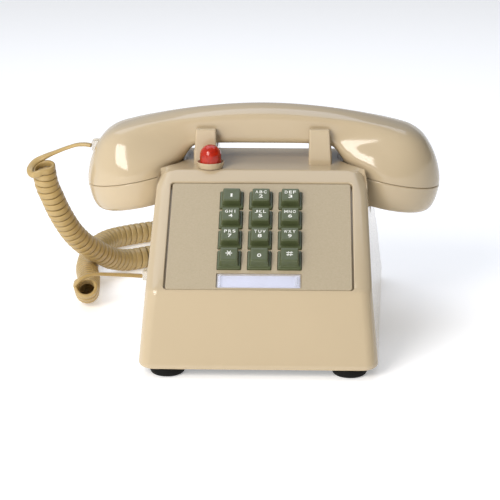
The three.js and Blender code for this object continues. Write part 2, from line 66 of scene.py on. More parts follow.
to_camera = Vector((
    math.sin(CAMERA_TURN) * math.cos(CAMERA_RISE),
    -math.cos(CAMERA_TURN) * math.cos(CAMERA_RISE),
    math.sin(CAMERA_RISE),
))
camera = bpy.data.objects.new("camera", bpy.data.cameras.new("camera"))
bpy.context.scene.collection.objects.link(camera)
camera.location = LOOK_AT + to_camera * CAMERA_DISTANCE
camera.rotation_euler = (math.pi / 2 - CAMERA_RISE, 0, CAMERA_TURN)
camera.data.sensor_width = 36
camera.data.lens = 119.52
camera.data.shift_x = -0.0248
camera.data.shift_y = -0.0400
bpy.context.scene.camera = camera
bpy.context.scene.view_settings.view_transform = "Standard"


# ---- Desk and studio light -----------------------------------------------------------------------------
# A plain white sweep of card under and behind the telephone.
# One large soft light stands high on the left, a cooler one hangs overhead, and the right side is left dim.
MM = 0.001


def linear(colour):
    """A colour written as sRGB hex, turned to the linear values that the shaders take."""
    srgb = [int(colour[i:i + 2], 16) / 255 for i in (1, 3, 5)]
    return [c / 12.92 if c <= 0.04045 else ((c + 0.055) / 1.055) ** 2.4 for c in srgb] + [1.0]


def add_node(tree, kind, sockets=(), **settings):
    """Adds one node: its settings by name, and for each socket a value to hold or an output to link."""
    node = tree.nodes.new(kind)
    for name, value in settings.items():
        setattr(node, name, value)
    for name, value in dict(sockets).items():
        if isinstance(value, bpy.types.NodeSocket):
            tree.links.new(value, node.inputs[name])
        else:
            node.inputs[name].default_value = value
    return node


def new_material(name, colour, roughness, **sockets):
    """A material with its shader's own sockets set; gives the material, its tree and its shader."""
    material = bpy.data.materials.new(name)
    material.use_nodes = True
    tree = material.node_tree
    shader = tree.nodes["Principled BSDF"]
    shader.inputs["Base Color"].default_value = linear(colour)
    shader.inputs["Roughness"].default_value = roughness
    for socket, value in sockets.items():
        shader.inputs[socket.replace("_", " ")].default_value = value
    return material, tree, shader


def texture(tree, kind, scale, sockets=(), **settings):
    """A procedural texture in the object's own coordinates, its scale in features to the metre."""
    coords = add_node(tree, "ShaderNodeTexCoord")
    held = {"Vector": coords.outputs["Object"], "Scale": scale, **dict(sockets)}
    return add_node(tree, "ShaderNodeTex" + kind, held, **settings)


def vary_colour(tree, shader, share, first, second):
    """Mixes the base colour between two linear colours by a texture's output."""
    tint = add_node(tree, "ShaderNodeMix", {"Factor": share, "A": first, "B": second}, data_type="RGBA")
    tree.links.new(tint.outputs["Result"], shader.inputs["Base Color"])


def vary_gloss(tree, shader, share, low, high):
    """Moves the roughness between two values by a texture's output."""
    gloss = add_node(tree, "ShaderNodeMapRange", {"Value": share, "To Min": low, "To Max": high})
    tree.links.new(gloss.outputs["Result"], shader.inputs["Roughness"])


def dent(tree, shader, height, strength, distance):
    """Bumps the surface by a texture's output, as if it stood up to a distance in metres."""
    bump = add_node(tree, "ShaderNodeBump", {"Height": height, "Strength": strength, "Distance": distance})
    tree.links.new(bump.outputs["Normal"], shader.inputs["Normal"])


def merge_grid(rows, columns, start=0):
    """Quads between neighbouring rows of a grid of points whose last column joins its first."""
    row, column = np.meshgrid(np.arange(rows - 1), np.arange(columns), indexing="ij")
    after = (column + 1) % columns
    corners = [row * columns + column, row * columns + after]
    corners += [(row + 1) * columns + after, (row + 1) * columns + column]
    return start + np.stack(corners, axis=-1).reshape(-1, 4)


def add_piece(name, parts, material, smooth_below=40):
    """One mesh object from parts, each a pair of points in millimetres and faces that index them.

    Points closer than a micrometre are merged, so a ring of no size closes into a pole."""
    points, faces, base = [], [], 0
    for part_points, part_faces in parts:
        part_points = np.asarray(part_points, float).reshape(-1, 3)
        points.append(part_points)
        faces += [[int(i) + base for i in face] for face in part_faces]
        base += len(part_points)
    mesh = bpy.data.meshes.new(name)
    mesh.from_pydata((np.concatenate(points) * MM).tolist(), [], faces)
    work = bmesh.new()
    work.from_mesh(mesh)
    bmesh.ops.remove_doubles(work, verts=work.verts, dist=0.001 * MM)
    work.to_mesh(mesh)
    work.free()
    mesh.shade_smooth()
    mesh.set_sharp_from_angle(angle=math.radians(smooth_below))
    mesh.materials.append(material)
    piece = bpy.data.objects.new(name, mesh)
    bpy.context.scene.collection.objects.link(piece)
    return piece


def place(piece, body, slot, *replaced):
    """Says which body a piece moves with and which solids it replaces. The slot is not used."""
    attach(piece, body)
    if replaced:
        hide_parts(*replaced)
    return piece


# Matt white card. It glows a little, so that it stays near white where the lights fall off.
desk_card, tree, shader = new_material("white_card", "#fafafa", 0.75, Specular_IOR_Level=0.2,
                                       Emission_Color=(1, 1, 1, 1), Emission_Strength=0.34)
grain = texture(tree, "Noise", 3.3)
vary_gloss(tree, shader, grain.outputs["Fac"], 0.72, 0.78)

# The card is flat for three quarters of its length and then curves up behind the telephone.
SWEEP_HALF_WIDTH, SWEEP_NEAR, SWEEP_LENGTH = 6000.0, -5000, 12000
SWEEP_FLAT_SHARE, SWEEP_RISE = 0.75, 900
SWEEP_STEPS = 40
sweep_x, sweep_share = np.meshgrid([-SWEEP_HALF_WIDTH, SWEEP_HALF_WIDTH], np.linspace(0, 1, SWEEP_STEPS),
                                   indexing="ij")
sweep_y = SWEEP_NEAR + SWEEP_LENGTH * sweep_share
bend = np.clip(sweep_share - SWEEP_FLAT_SHARE, 0, 1) / (1 - SWEEP_FLAT_SHARE)
sweep_z = -0.02 + SWEEP_RISE * bend ** 2
sweep_faces = [[i, i + SWEEP_STEPS, i + SWEEP_STEPS + 1, i + 1] for i in range(SWEEP_STEPS - 1)]
desk = add_piece("desk", [(np.stack([sweep_x, sweep_y, sweep_z], -1), sweep_faces)], desk_card)

world = bpy.data.worlds.new("studio")
bpy.context.scene.world = world
world.use_nodes = True
tree = world.node_tree
direction = add_node(tree, "ShaderNodeTexCoord")
split = add_node(tree, "ShaderNodeSeparateXYZ", {"Vector": direction.outputs["Generated"]})
level = add_node(tree, "ShaderNodeMapRange", {"Value": split.outputs["X"], "From Min": -0.7, "From Max": 0.9,
                                              "To Min": 0.66, "To Max": 0.06})
tree.links.new(level.outputs["Result"], tree.nodes["Background"].inputs["Strength"])
tree.nodes["Background"].inputs["Color"].default_value = linear("#f3f6fb")

# Each light: its place, its width and height in metres, its power in watts and its colour.
LIT_POINT = Vector((0, 0.02, 0.08))
SOFT_LIGHTS = {
    "window_light": ((-0.66, -1.08, 0.76), (0.62, 0.78), 15.5, "#fffaf4"),
    "overhead_light": ((-0.10, 0.55, 1.25), (1.5, 1.0), 7.5, "#e6eeff"),
}
for name, (place_at, size, watts, colour) in SOFT_LIGHTS.items():
    lamp = bpy.data.lights.new(name, "AREA")
    lamp.shape = "RECTANGLE"
    lamp.size, lamp.size_y = size
    lamp.energy = watts
    lamp.color = linear(colour)[:3]
    light = bpy.data.objects.new(name, lamp)
    bpy.context.scene.collection.objects.link(light)
    light.location = place_at
    light.rotation_euler = (LIT_POINT - light.location).to_track_quat("-Z", "Y").to_euler()


# ---- Handset cord --------------------------------------------------------------------------------------
# A flat four-wire vinyl cord, extruded and then baked on a rod so that it keeps its curl. It leaves the base
# by a straight lead, curls for most of its length and ends in a straight lead to the handset.
CORD_WIDTH = 4.2
CORD_THICK = 2.3
CURL_PITCH = 4.75
CURL_OUTSIDE = 7.6
STEPS_PER_TURN = 20

COIL_ROUTE = [
    (-139.2, 30, 92.5), (-138.2, 35.2, 79.5), (-135.6, 39.5, 70), (-133.1, 44, 61), (-129.6, 50.5, 50.6),
    (-125.6, 57.5, 41), (-120.3, 65.5, 32), (-114, 75.5, 24), (-109.4, 84.5, 18.2), (-105.2, 93.5, 13),
    (-96.3, 106.5, 8), (-82.9, 116, 7.6), (-66, 126.5, 7.6), (-47, 137, 7.6), (-31, 150, 7.6),
    (-24.5, 166, 7.6), (-31, 182, 7.6), (-48, 190, 7.6), (-68, 188, 7.6), (-87, 180, 7.6),
    (-107.4, 166, 7.6), (-116.5, 154, 7.6), (-121.5, 136, 7.6), (-122.6, 115, 7.6), (-121.9, 95, 7.6),
    (-120.3, 81, 7.6), (-117.4, 66, 7.6), (-115.6, 52, 7.6), (-114.6, 41, 7.6), (-114, 33, 8.2),
    (-113.7, 27, 11.2), (-113.5, 21.5, 15.6),
]
HANDSET_LEAD_ROUTE = [
    (-108.2, 28, 106.6), (-112, 28.6, 107), (-117.5, 30, 106.4), (-124, 32.3, 104), (-131, 35, 100.8),
    (-138.5, 37.2, 97.2), (-145, 35.2, 94), (-147.6, 29.5, 90.6), (-145.2, 24.4, 88.2),
]
BASE_LEAD_ROUTE = [
    (-79.1, 40, 17.3), (-83.5, 38.8, 17.9), (-91.2, 34.5, 19.6), (-99, 29.5, 21.4),
    (-106.5, 24.6, 22.9), (-112.5, 20.2, 22.9), (-118, 17.2, 20.6),
]


def spline_at(points, knot, before):
    """Points on the Catmull-Rom curve through the given points, at fractions of the way from knot to knot.

    Between b and c, with a before them and d after, a point at the share t is half of
    2b + (c - a) t + (2a - 5b + 4c - d) t^2 + (3b - a - 3c + d) t^3."""
    padded = np.concatenate([[before], points, 2 * points[-1:] - points[-2:-1]])
    stretch = np.minimum(knot.astype(int), len(points) - 2)
    t = (knot - stretch)[:, None]
    a, b, c, d = (padded[stretch + i] for i in range(4))
    return (2 * b + (c - a) * t + (2 * a - 5 * b + 4 * c - d) * t ** 2 + (3 * b - a - 3 * c + d) * t ** 3) / 2


def smooth_route(points, count):
    """A smooth curve through the points, as count points in even steps."""
    points = np.asarray(points, float)
    fine = np.linspace(0, len(points) - 1, 60 * len(points))
    return even_steps(spline_at(points, fine, 2 * points[0] - points[1]), count)


def even_steps(curve, count):
    """The same curve at count points that are the same distance apart along it."""
    gone = np.concatenate([[0], np.cumsum(np.linalg.norm(np.diff(curve, axis=0), axis=1))])
    wanted = np.linspace(0, gone[-1], count)
    return np.stack([np.interp(wanted, gone, curve[:, axis]) for axis in range(3)], axis=-1)


def route_length(curve):
    """The distance along a curve, point to point."""
    return float(np.linalg.norm(np.diff(curve, axis=0), axis=1).sum())


def carried_frames(curve, first_side):
    """Unit tangent, side and up along a curve; each side is the one before it with the new tangent
    taken out, so that the sides never spin about the curve."""
    tangents = np.gradient(curve, axis=0)
    tangents /= np.linalg.norm(tangents, axis=1)[:, None]
    sides = np.zeros_like(curve)
    side = np.asarray(first_side, float)
    for i, tangent in enumerate(tangents):
        side = side - tangent * (side @ tangent)
        side /= np.linalg.norm(side)
        sides[i] = side
    return tangents, sides, np.cross(tangents, sides)


# The curled stretch: a helix about the coil's route, which starts on the near side of its upper end
# and ends on the left of its lower end.
coil_axis = smooth_route(COIL_ROUTE, 400)
turns = route_length(coil_axis) / CURL_PITCH
steps = round(turns * STEPS_PER_TURN)
coil_axis = even_steps(coil_axis, steps + 1)
tangents, sides, ups = carried_frames(coil_axis, (0, -1, 0))
left = np.array([-1.0, 0, 0])
last_turn = math.atan2(-left @ ups[-1], left @ sides[-1]) / (2 * math.pi)
turns = round(turns - last_turn) + last_turn
swing = np.linspace(0, 2 * math.pi * turns, steps + 1)
helix_radius = CURL_OUTSIDE - CORD_THICK / 2
outward = sides * np.cos(swing)[:, None] - ups * np.sin(swing)[:, None]
helix = coil_axis + helix_radius * outward


def lead_to_helix(route, end, beyond):
    """The smooth route of a lead that runs on into the end of the helix, without that end itself."""
    line = smooth_route([*route, end, beyond], 12 * len(route))
    stop = int(np.argmin(np.linalg.norm(line - end, axis=1)))
    return line[:stop]


handset_lead = lead_to_helix(HANDSET_LEAD_ROUTE, helix[0], helix[STEPS_PER_TURN // 4])
base_lead = lead_to_helix(BASE_LEAD_ROUTE, helix[-1], helix[-1 - STEPS_PER_TURN // 4])
cord_line = np.concatenate([base_lead, helix[::-1], handset_lead[::-1]])

# Each section's flat side faces the coil's axis; along the leads it turns until it lies level.
def lead_facing(count, at_coil):
    """From level at the plug to the way the cord faces on the coil, eased over the lead's length."""
    share = np.linspace(0, 1, count)[:, None] ** 2
    return (1 - share) * np.array([[0, 0, 1.0]]) + share * at_coil


thick_way = np.concatenate([lead_facing(len(base_lead), outward[-1]), outward[::-1],
                            lead_facing(len(handset_lead), outward[0])[::-1]])
ways = np.gradient(cord_line, axis=0)
ways /= np.linalg.norm(ways, axis=1)[:, None]
thick_way -= ways * (thick_way * ways).sum(1)[:, None]
thick_way /= np.linalg.norm(thick_way, axis=1)[:, None]
wide_way = np.cross(thick_way, ways)

# The section is a squared oval: cosine and sine of the angle round it, each raised to a power below 1.
SIDES = 14
section = np.linspace(0, 2 * math.pi, SIDES, endpoint=False)
section_wide = CORD_WIDTH / 2 * np.sign(np.cos(section)) * np.abs(np.cos(section)) ** 0.55
section_thick = CORD_THICK / 2 * np.sign(np.sin(section)) * np.abs(np.sin(section)) ** 0.62
rings = (cord_line[:, None] + section_wide[None, :, None] * wide_way[:, None]
         + section_thick[None, :, None] * thick_way[:, None])
cord_faces = list(merge_grid(len(rings), SIDES)) + [list(range(SIDES - 1, -1, -1))]
cord_faces.append([(len(rings) - 1) * SIDES + i for i in range(SIDES)])

# Extruded vinyl: a soft low gloss and a slightly uneven skin, a little blotched with age.
cord_vinyl, tree, shader = new_material("extruded_vinyl", "#b59a63", 0.36, IOR=1.53)
mottle = texture(tree, "Noise", 180.0, {"Detail": 3.0})
vary_colour(tree, shader, mottle.outputs["Fac"], linear("#a98e57"), linear("#bfa56f"))
dent(tree, shader, mottle.outputs["Fac"], 0.12, 0.0002)

cord = add_piece("handset_cord", [(rings, cord_faces)], cord_vinyl, smooth_below=60)
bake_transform(cord)
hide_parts("cord_coil", "cord_lead_handset", "cord_lead_base")


# ---- Housing -------------------------------------------------------------------------------------------
# One sand-coloured ABS moulding, open underneath: lean front, sloping face with a rebate for the faceplate,
# flat top, flared scoops for the handset's cups and four cradle posts. It widens to the back.
WALL = 2.7
DEPTH = 200.0
UNDERSIDE = 5.0
BASE_HALF_WIDTH = 68.5
SIDE_DRAFT = 0.105
SIDE_FLARE = 0.00079
CREASE_Y, CREASE_Z = -88.9, 48.9
FACE_SLOPE = math.radians(33.3)
SHOULDER_Z = 89.5
TOP_Z = 100.5
TOP_REAR_Y = 53.0
REAR_KNEE_Y, REAR_KNEE_Z = 97.0, 35.0
SHOULDER_RADIUS = 11.0
CORNER_RADIUS = 7.0
RIM_RADIUS, REAR_RIM_RADIUS = 5.0, 7.0
HANDSET_Y = 28.0
CUP_X, CUP_Z = 80.0, 90.0
CUP_RADIUS = 31.0
CUP_TILT = math.radians(11)
POST_X = 35.3
JACK_Y, JACK_Z = 40.0, 18.5
LAMP_X, LAMP_Y = -31.4, -4.2


def soft_larger(a, b, soft):
    """The larger of two values, rounded where they cross: half of a + b + sqrt((a - b)^2 + soft^2)."""
    return (a + b + np.sqrt((a - b) ** 2 + soft ** 2)) / 2


def rounded_ring(half_x, low, high, radius, steps=7, flat=9):
    """A flat ring, anticlockwise from above: a rectangle with quarter-round corners, as x, y and the share
    of the way round each corner (0 on the front, 1 on the sides, 2 on the back)."""
    quarter = np.linspace(0, math.pi / 2, steps + 1)
    run = np.linspace(-1, 1, flat + 2)[1:-1]
    middle, half_y = (low + high) / 2, (high - low) / 2
    x, y, share = [], [], []
    for turn, (sx, sy) in enumerate([(1, -1), (1, 1), (-1, 1), (-1, -1)]):
        angle = quarter + (turn - 1) * math.pi / 2
        x.append(sx * (half_x - radius) + radius * np.cos(angle))
        y.append(middle + sy * (half_y - radius) + radius * np.sin(angle))
        to_side = quarter / (math.pi / 2)
        share.append([to_side, 1 + to_side, 2 - to_side, 1 - to_side][turn])
        ahead = [(half_x, run * (half_y - radius) + middle, 1), (-run * (half_x - radius), high, 2),
                 (-half_x, middle - run * (half_y - radius), 1), (run * (half_x - radius), low, 0)][turn]
        x.append(np.broadcast_to(ahead[0], flat))
        y.append(np.broadcast_to(ahead[1], flat))
        share.append(np.full(flat, float(ahead[2])))
    return np.concatenate(x), np.concatenate(y), np.concatenate(share)


def loft(rows):
    """Points and faces of a closed skin over rows of equal length, with a flat face at each end."""
    rows = np.asarray(rows)
    count = rows.shape[1]
    last = (len(rows) - 1) * count
    ends = [list(range(count - 1, -1, -1)), [last + i for i in range(count)]]
    return rows, list(merge_grid(len(rows), count)) + ends


def arc_path(start, corner, end, radius, before, within, after):
    """Three stretches of points in a plane: from start towards a corner, round it on an arc that
    touches both sides, and on to the end."""
    start, corner, end = (np.array(p, float) for p in (start, corner, end))
    way_in = (corner - start) / np.linalg.norm(corner - start)
    way_out = (end - corner) / np.linalg.norm(end - corner)
    turn = math.acos(float(way_in @ way_out))
    touch = radius * math.tan(turn / 2)
    inward = (way_out - way_in * math.cos(turn)) / math.sin(turn)
    hub = corner - way_in * touch + inward * radius
    angle = np.linspace(0, turn, within)[:, None]
    arc = hub - inward * radius * np.cos(angle) + way_in * radius * np.sin(angle)
    lead_in = start + np.linspace(0, 1, before, endpoint=False)[:, None] * (arc[0] - start)
    lead_out = arc[-1] + np.linspace(0, 1, after + 1)[1:, None] * (end - arc[-1])
    return np.concatenate([lead_in, arc, lead_out])


def body_rows(inset, face_inset, foot_radius):
    """Rings of the housing from the underside to the flat top, each drawn in by an inset. The width grows
    with the distance from the front.

    Below the shoulders a ring is level. Above them its sides follow the shoulder's quarter circle while its
    front and back follow their own slopes and rims, and round the corners the height eases from one to the
    other."""
    turn = np.linspace(0, math.pi / 2, 5)
    foot = np.stack([UNDERSIDE + foot_radius * (1 - np.cos(turn)), foot_radius * (1 - np.sin(turn))])
    crease = CREASE_Z + np.array([-9, -5, -3, -1.8, -1.0, -0.4, 0.2, 0.8, 1.6, 2.8, 4.5, 8])
    levels = np.concatenate([foot[0], [14, 22, 29, 32, 34, 35.5, 37], crease, [64, 74, 82, SHOULDER_Z]])
    roll = np.concatenate([foot[1], np.zeros(len(levels) - len(turn))])
    drawn, ends = roll + inset, roll * 0.35 + inset
    lean = -DEPTH / 2 + (CREASE_Y + DEPTH / 2) * (levels - UNDERSIDE) / (CREASE_Z - UNDERSIDE) + ends
    slope = CREASE_Y + (levels - CREASE_Z) / math.tan(FACE_SLOPE) + face_inset / math.sin(FACE_SLOPE)
    front = soft_larger(lean, slope, 1.0)
    upright = DEPTH / 2 + (REAR_KNEE_Y - DEPTH / 2) * (levels - UNDERSIDE) / (REAR_KNEE_Z - UNDERSIDE)
    fall = REAR_KNEE_Y + (TOP_REAR_Y - REAR_KNEE_Y) * (levels - REAR_KNEE_Z) / (TOP_Z - REAR_KNEE_Z)
    rear = -soft_larger(-upright, -fall, 1.6) - ends
    half = BASE_HALF_WIDTH - SIDE_DRAFT * (levels - UNDERSIDE) - drawn

    top = TOP_Z - inset
    rise = np.linspace(0, math.pi / 2, 14)
    radius = SHOULDER_RADIUS - inset
    side_x = half[-1] - radius * (1 - np.cos(rise))
    side_z = SHOULDER_Z + radius * np.sin(rise)
    rim_y = CREASE_Y + (top - CREASE_Z) / math.tan(FACE_SLOPE) + face_inset / math.sin(FACE_SLOPE)
    front_rim = arc_path((front[-1], SHOULDER_Z), (rim_y, top), (rim_y + 5, top), RIM_RADIUS, 5, 7, 2)
    back_y = TOP_REAR_Y - inset
    rear_rim = arc_path((rear[-1], SHOULDER_Z), (back_y, top), (back_y - 6, top), REAR_RIM_RADIUS, 4, 8, 2)
    stations = [(h, f, b, z, z, z) for h, f, b, z in zip(half, front, rear, levels)]
    rims = zip(side_x[1:], side_z[1:], front_rim[1:], rear_rim[1:])
    stations += [(x, f[0], b[0], z, f[1], b[1]) for x, z, f, b in rims]
    rows = []
    for half_x, low, high, z_side, z_front, z_back in stations:
        x, y, share = rounded_ring(half_x, low, high, CORNER_RADIUS - inset / 2)
        ease = share - np.floor(np.minimum(share, 1.999))
        ease = ease * ease * (3 - 2 * ease)
        z = np.where(share <= 1, z_front + (z_side - z_front) * ease, z_side + (z_back - z_side) * ease)
        rows.append(np.stack([x * (1 + SIDE_FLARE * (y + DEPTH / 2)), y, z], -1))
    return rows


def turned(profile, segments=48):
    """Points and faces of a turned piece: each (radius, height) of the profile is carried round the Z axis.
    The profile starts and ends on the axis, or comes back to its first point."""
    radius, height = np.asarray(profile, float).T
    angle = np.linspace(0, 2 * math.pi, segments, endpoint=False)
    points = np.stack([radius[:, None] * np.cos(angle), radius[:, None] * np.sin(angle),
                       np.broadcast_to(height[:, None], (len(radius), segments))], -1)
    faces = merge_grid(len(radius), segments)
    return points, faces


def moved(part, shift):
    """The same part somewhere else."""
    return np.asarray(part[0]) + np.asarray(shift, float), part[1]


def at_cup(part, side):
    """A part made on the cup's own axis, leaned outwards by the cup's tilt and set in its place."""
    x, y, z = np.moveaxis(np.asarray(part[0], float), -1, 0)
    lean = side * CUP_TILT
    cos, sin = math.cos(lean), math.sin(lean)
    leaned = np.stack([x * cos + z * sin, y, z * cos - x * sin], -1)
    return leaned + np.array([side * CUP_X, HANDSET_Y, CUP_Z]), part[1]


def on_face(points):
    """Points given across the face, up the slope and out from it, set on the sloping face."""
    x, s, d = np.moveaxis(np.asarray(points, float), -1, 0)
    cos, sin = math.cos(FACE_SLOPE), math.sin(FACE_SLOPE)
    return np.stack([x, CREASE_Y + s * cos - d * sin, CREASE_Z + s * sin + d * cos], -1)


def rolled_edge(radius, top, steps=5):
    """A quarter-round upper edge, from its foot to the top, as steps of how far in and how high."""
    turn = np.linspace(0, math.pi / 2, steps)
    return [(radius * (1 - math.cos(a)), top - radius * (1 - math.sin(a))) for a in turn]


def rounded_block(low, high, corner, edge=0.0, steps=5):
    """An upright block with rounded corners, its top and bottom edges rolled over by the edge radius."""
    (x0, y0, z0), (x1, y1, z1) = low, high
    draws = [(0, z0), (0, z1)]
    if edge:
        draws = [(draw, -z) for draw, z in rolled_edge(edge, -z0)[::-1]] + rolled_edge(edge, z1)
    rows = []
    for draw, z in draws:
        radius = max(corner - draw, 0.05)
        x, y, _ = rounded_ring((x1 - x0) / 2 - draw, y0 + draw, y1 - draw, radius, steps, 1)
        rows.append(np.stack([x + (x0 + x1) / 2, y, np.full_like(x, z)], -1))
    return loft(rows)


def cut_or_join(piece, other, how):
    """Cuts another object out of a piece or joins it on, removes it and shades the piece afresh."""
    step = piece.modifiers.new("carve", "BOOLEAN")
    step.object, step.operation, step.solver = other, how, "EXACT"
    done = bpy.data.meshes.new_from_object(piece.evaluated_get(bpy.context.evaluated_depsgraph_get()))
    piece.modifiers.clear()
    piece.data = done
    bpy.data.objects.remove(other)
    done.shade_smooth()
    done.set_sharp_from_angle(angle=math.radians(32))


def carve(piece, parts, how="DIFFERENCE"):
    """Cuts parts out of a piece, or with UNION joins them on."""
    cut_or_join(piece, add_piece("cutter", parts, piece.data.materials[0]), how)


def even_shading(piece):
    """Flat faces shade flat next to rounded ones: each corner's normal leans to its larger faces."""
    step = piece.modifiers.new("even_shading", "WEIGHTED_NORMAL")
    step.keep_sharp = True
    step.weight = 80
    return piece


# ABS from a polished mould: a clean gloss with a very faint ripple, the colour through and through.
def polished_abs(name, colour, roughness, ripple=0.05):
    """A glossy moulded plastic whose colour and gloss drift a little over a few centimetres."""
    material, tree, shader = new_material(name, colour, roughness, IOR=1.54)
    drift = texture(tree, "Noise", 28.0)
    darker = [c * 0.955 for c in linear(colour)[:3]] + [1.0]
    vary_colour(tree, shader, drift.outputs["Fac"], darker, linear(colour))
    vary_gloss(tree, shader, drift.outputs["Fac"], roughness * 0.8, roughness * 1.25)
    wave = texture(tree, "Noise", 120.0, {"Detail": 1.0})
    dent(tree, shader, wave.outputs["Fac"], ripple, 0.0004)
    return material


sand_abs = polished_abs("polished_sand_abs", "#c3b192", 0.11)
housing = add_piece("telephone_housing", [loft(body_rows(0, 0, 3.2))], sand_abs, smooth_below=32)

SCOOP_CLEARANCE, SCOOP_FLOOR, SCOOP_ROLL = 3.2, -21, 5
SCOOP_FLARE, SCOOP_LIP, SCOOP_TOP = 8, 13, 50


def scoop_part(side, grow):
    """The round bite that each cup hangs in: a rolled corner round its floor, and a mouth that flares
    by the share r of its height as r^2 (1.7 - 0.7 r)."""
    radius, floor = CUP_RADIUS + SCOOP_CLEARANCE + grow, SCOOP_FLOOR - grow
    roll = np.linspace(0, math.pi / 2, 8)
    corner = [(radius + SCOOP_ROLL * (math.sin(a) - 1), floor + SCOOP_ROLL * (1 - math.cos(a))) for a in roll]
    rise = np.linspace(0, 1, 8)
    flare = [(radius + SCOOP_FLARE * r * r * (1.7 - 0.7 * r), SCOOP_LIP * r) for r in rise]
    mouth = radius + SCOOP_FLARE
    return at_cup(turned([(0, floor), *corner, *flare, (mouth, SCOOP_TOP), (0, SCOOP_TOP)], 96), side)


FACE_WALL = 5.4
inner_rows = body_rows(WALL, FACE_WALL, 0.0)
hollow = add_piece("hollow", [loft([inner_rows[0] - [0, 0, 3], *inner_rows[5:]])], sand_abs)
for side in (-1, 1):
    carve(housing, [scoop_part(side, 0)])
    carve(hollow, [scoop_part(side, WALL)])
cut_or_join(housing, hollow, "DIFFERENCE")

POST_FRONT, POST_THICK = 4.8, 6.4
POST_FOOT, POST_TOP = 97.8, 122.1
POST_NEAR, POST_FAR = 28.2, 42.4
SADDLE_TOP = 108.7
POST_REAR = 2 * HANDSET_Y - POST_FRONT - POST_THICK


def post_part(side, front):
    """A cradle post: it tapers a little to its head, whose edges are rolled over."""
    rows = []
    for draw, z in [(0, 98.0), (0, 108), (0, 116), *rolled_edge(0.9, POST_TOP)]:
        up = (z - POST_FOOT) / (POST_TOP - POST_FOOT)
        near, far, pull = POST_NEAR + 0.3 * up + draw, POST_FAR - 1.5 * up - draw, 0.4 * up + draw
        radius = 1.1 - draw * 0.6
        x, y, _ = rounded_ring((far - near) / 2, front + pull, front + POST_THICK - pull, radius, 4, 1)
        rows.append(np.stack([x + side * (near + far) / 2, y, np.full_like(x, z)], -1))
    return loft(rows)


for side in (-1, 1):
    x_low, x_high = sorted((side * POST_NEAR, side * POST_FAR))
    saddle = rounded_block((x_low, POST_FRONT + 2, 98), (x_high, POST_REAR + 3, SADDLE_TOP), 0.8, 0.6)
    carve(housing, [saddle], "UNION")
    carve(housing, [post_part(side, POST_FRONT), post_part(side, POST_REAR)], "UNION")

PLATE_HALF_WIDTH, PLATE_LOW, PLATE_HIGH = 53.4, 1.4, 83.4
PLATE_SUNK, PLATE_THICK = 0.5, 2.4
SLOT, END_GAP, SEAT_GAP = 1.0, 0.4, 0.3
LEDGE, OPENING_DEPTH = 2.6, 14.0


def face_prism(half_x, low, high, corner, depth, lip=0.0, out=3.0):
    """A cutter that stands on the sloping face: straight down to a depth, and flared at the surface so
    that it leaves a quarter-round lip."""
    flare = [(lip * (1 - math.cos(a)), lip * (math.sin(a) - 1)) for a in np.linspace(0, math.pi / 2, 6)]
    rows = []
    for grow, d in [(0, -depth), *(flare if lip else []), (lip, out)]:
        x, s, _ = rounded_ring(half_x + grow, low - grow, high + grow, corner + grow, 6, 1)
        rows.append(on_face(np.stack([x, s, np.full_like(x, d)], -1)))
    return loft(rows)


rebate = face_prism(PLATE_HALF_WIDTH + SLOT, PLATE_LOW - END_GAP, PLATE_HIGH + END_GAP, 2.2,
                    PLATE_SUNK + PLATE_THICK + SEAT_GAP, 0.7)
carve(housing, [rebate])
opening = face_prism(PLATE_HALF_WIDTH - LEDGE, PLATE_LOW + LEDGE, PLATE_HIGH - LEDGE, 2.0, OPENING_DEPTH)
carve(housing, [opening])

# Round bores through the saddles and the flat top, and the square holes for the two sockets.
plunger_bores = [moved(turned([(0, 90), (4.3, 90), (4.3, 107.9), (4.9, 108.7), (4.9, 112), (0, 112)], 40),
                       (side * POST_X, HANDSET_Y, 0)) for side in (-1, 1)]
lamp_bore = moved(turned([(0, 84), (4.8, 84), (4.8, 102), (0, 102)], 40), (LAMP_X, LAMP_Y, 0))
jack_hole = rounded_block((-84, JACK_Y - 5, JACK_Z - 5), (-60, JACK_Y + 5, JACK_Z + 5), 0.05)
line_hole = rounded_block((-7.4, 90, 12), (7.4, 105, 24), 0.05)
carve(housing, [*plunger_bores, lamp_bore, jack_hole, line_hole])
place(even_shading(housing), "base", "sand_abs", "housing")


# ---- Faceplate -----------------------------------------------------------------------------------------
# A flat ABS plate with a fine pebbled grain from an etched mould. It drops into the rebate with an open slot
# down each side, and is pierced for the twelve keys and let in for the designation card.
KEY_PITCH_X, KEY_PITCH_S, KEY_ROW_LOW = 17.46, 15.49, 22.84
KEY_HALF = 6.8
KEY_HOLE_HALF = KEY_HALF + 0.3
CARD_S, CARD_HALF_WIDTH, CARD_HALF_HEIGHT = 8.1, 24.0, 4.9
PLATE_TOP = -PLATE_SUNK

# The etched grain: pebbles 0.7 mm across under a finer cloud, which also tints the plate faintly.
PEBBLE = 0.0007
textured_abs, tree, shader = new_material("pebbled_sand_abs", "#b3a486", 0.48, IOR=1.54)
pebbles = texture(tree, "Voronoi", 1 / PEBBLE, feature="SMOOTH_F1")
cloud = texture(tree, "Noise", 900.0, {"Detail": 3.0})
grain = add_node(tree, "ShaderNodeMath", {0: pebbles.outputs["Distance"], 1: cloud.outputs["Fac"]},
                 operation="ADD")
vary_colour(tree, shader, cloud.outputs["Fac"], linear("#ab9c7e"), linear("#bbac90"))
dent(tree, shader, grain.outputs["Value"], 0.35, 0.00015)

key_places = {}
for row, names in enumerate(["key_star key_0 key_hash", "key_7 key_8 key_9", "key_4 key_5 key_6",
                             "key_1 key_2 key_3"]):
    for column, name in enumerate(names.split()):
        key_places[name] = ((column - 1) * KEY_PITCH_X, KEY_ROW_LOW + row * KEY_PITCH_S)


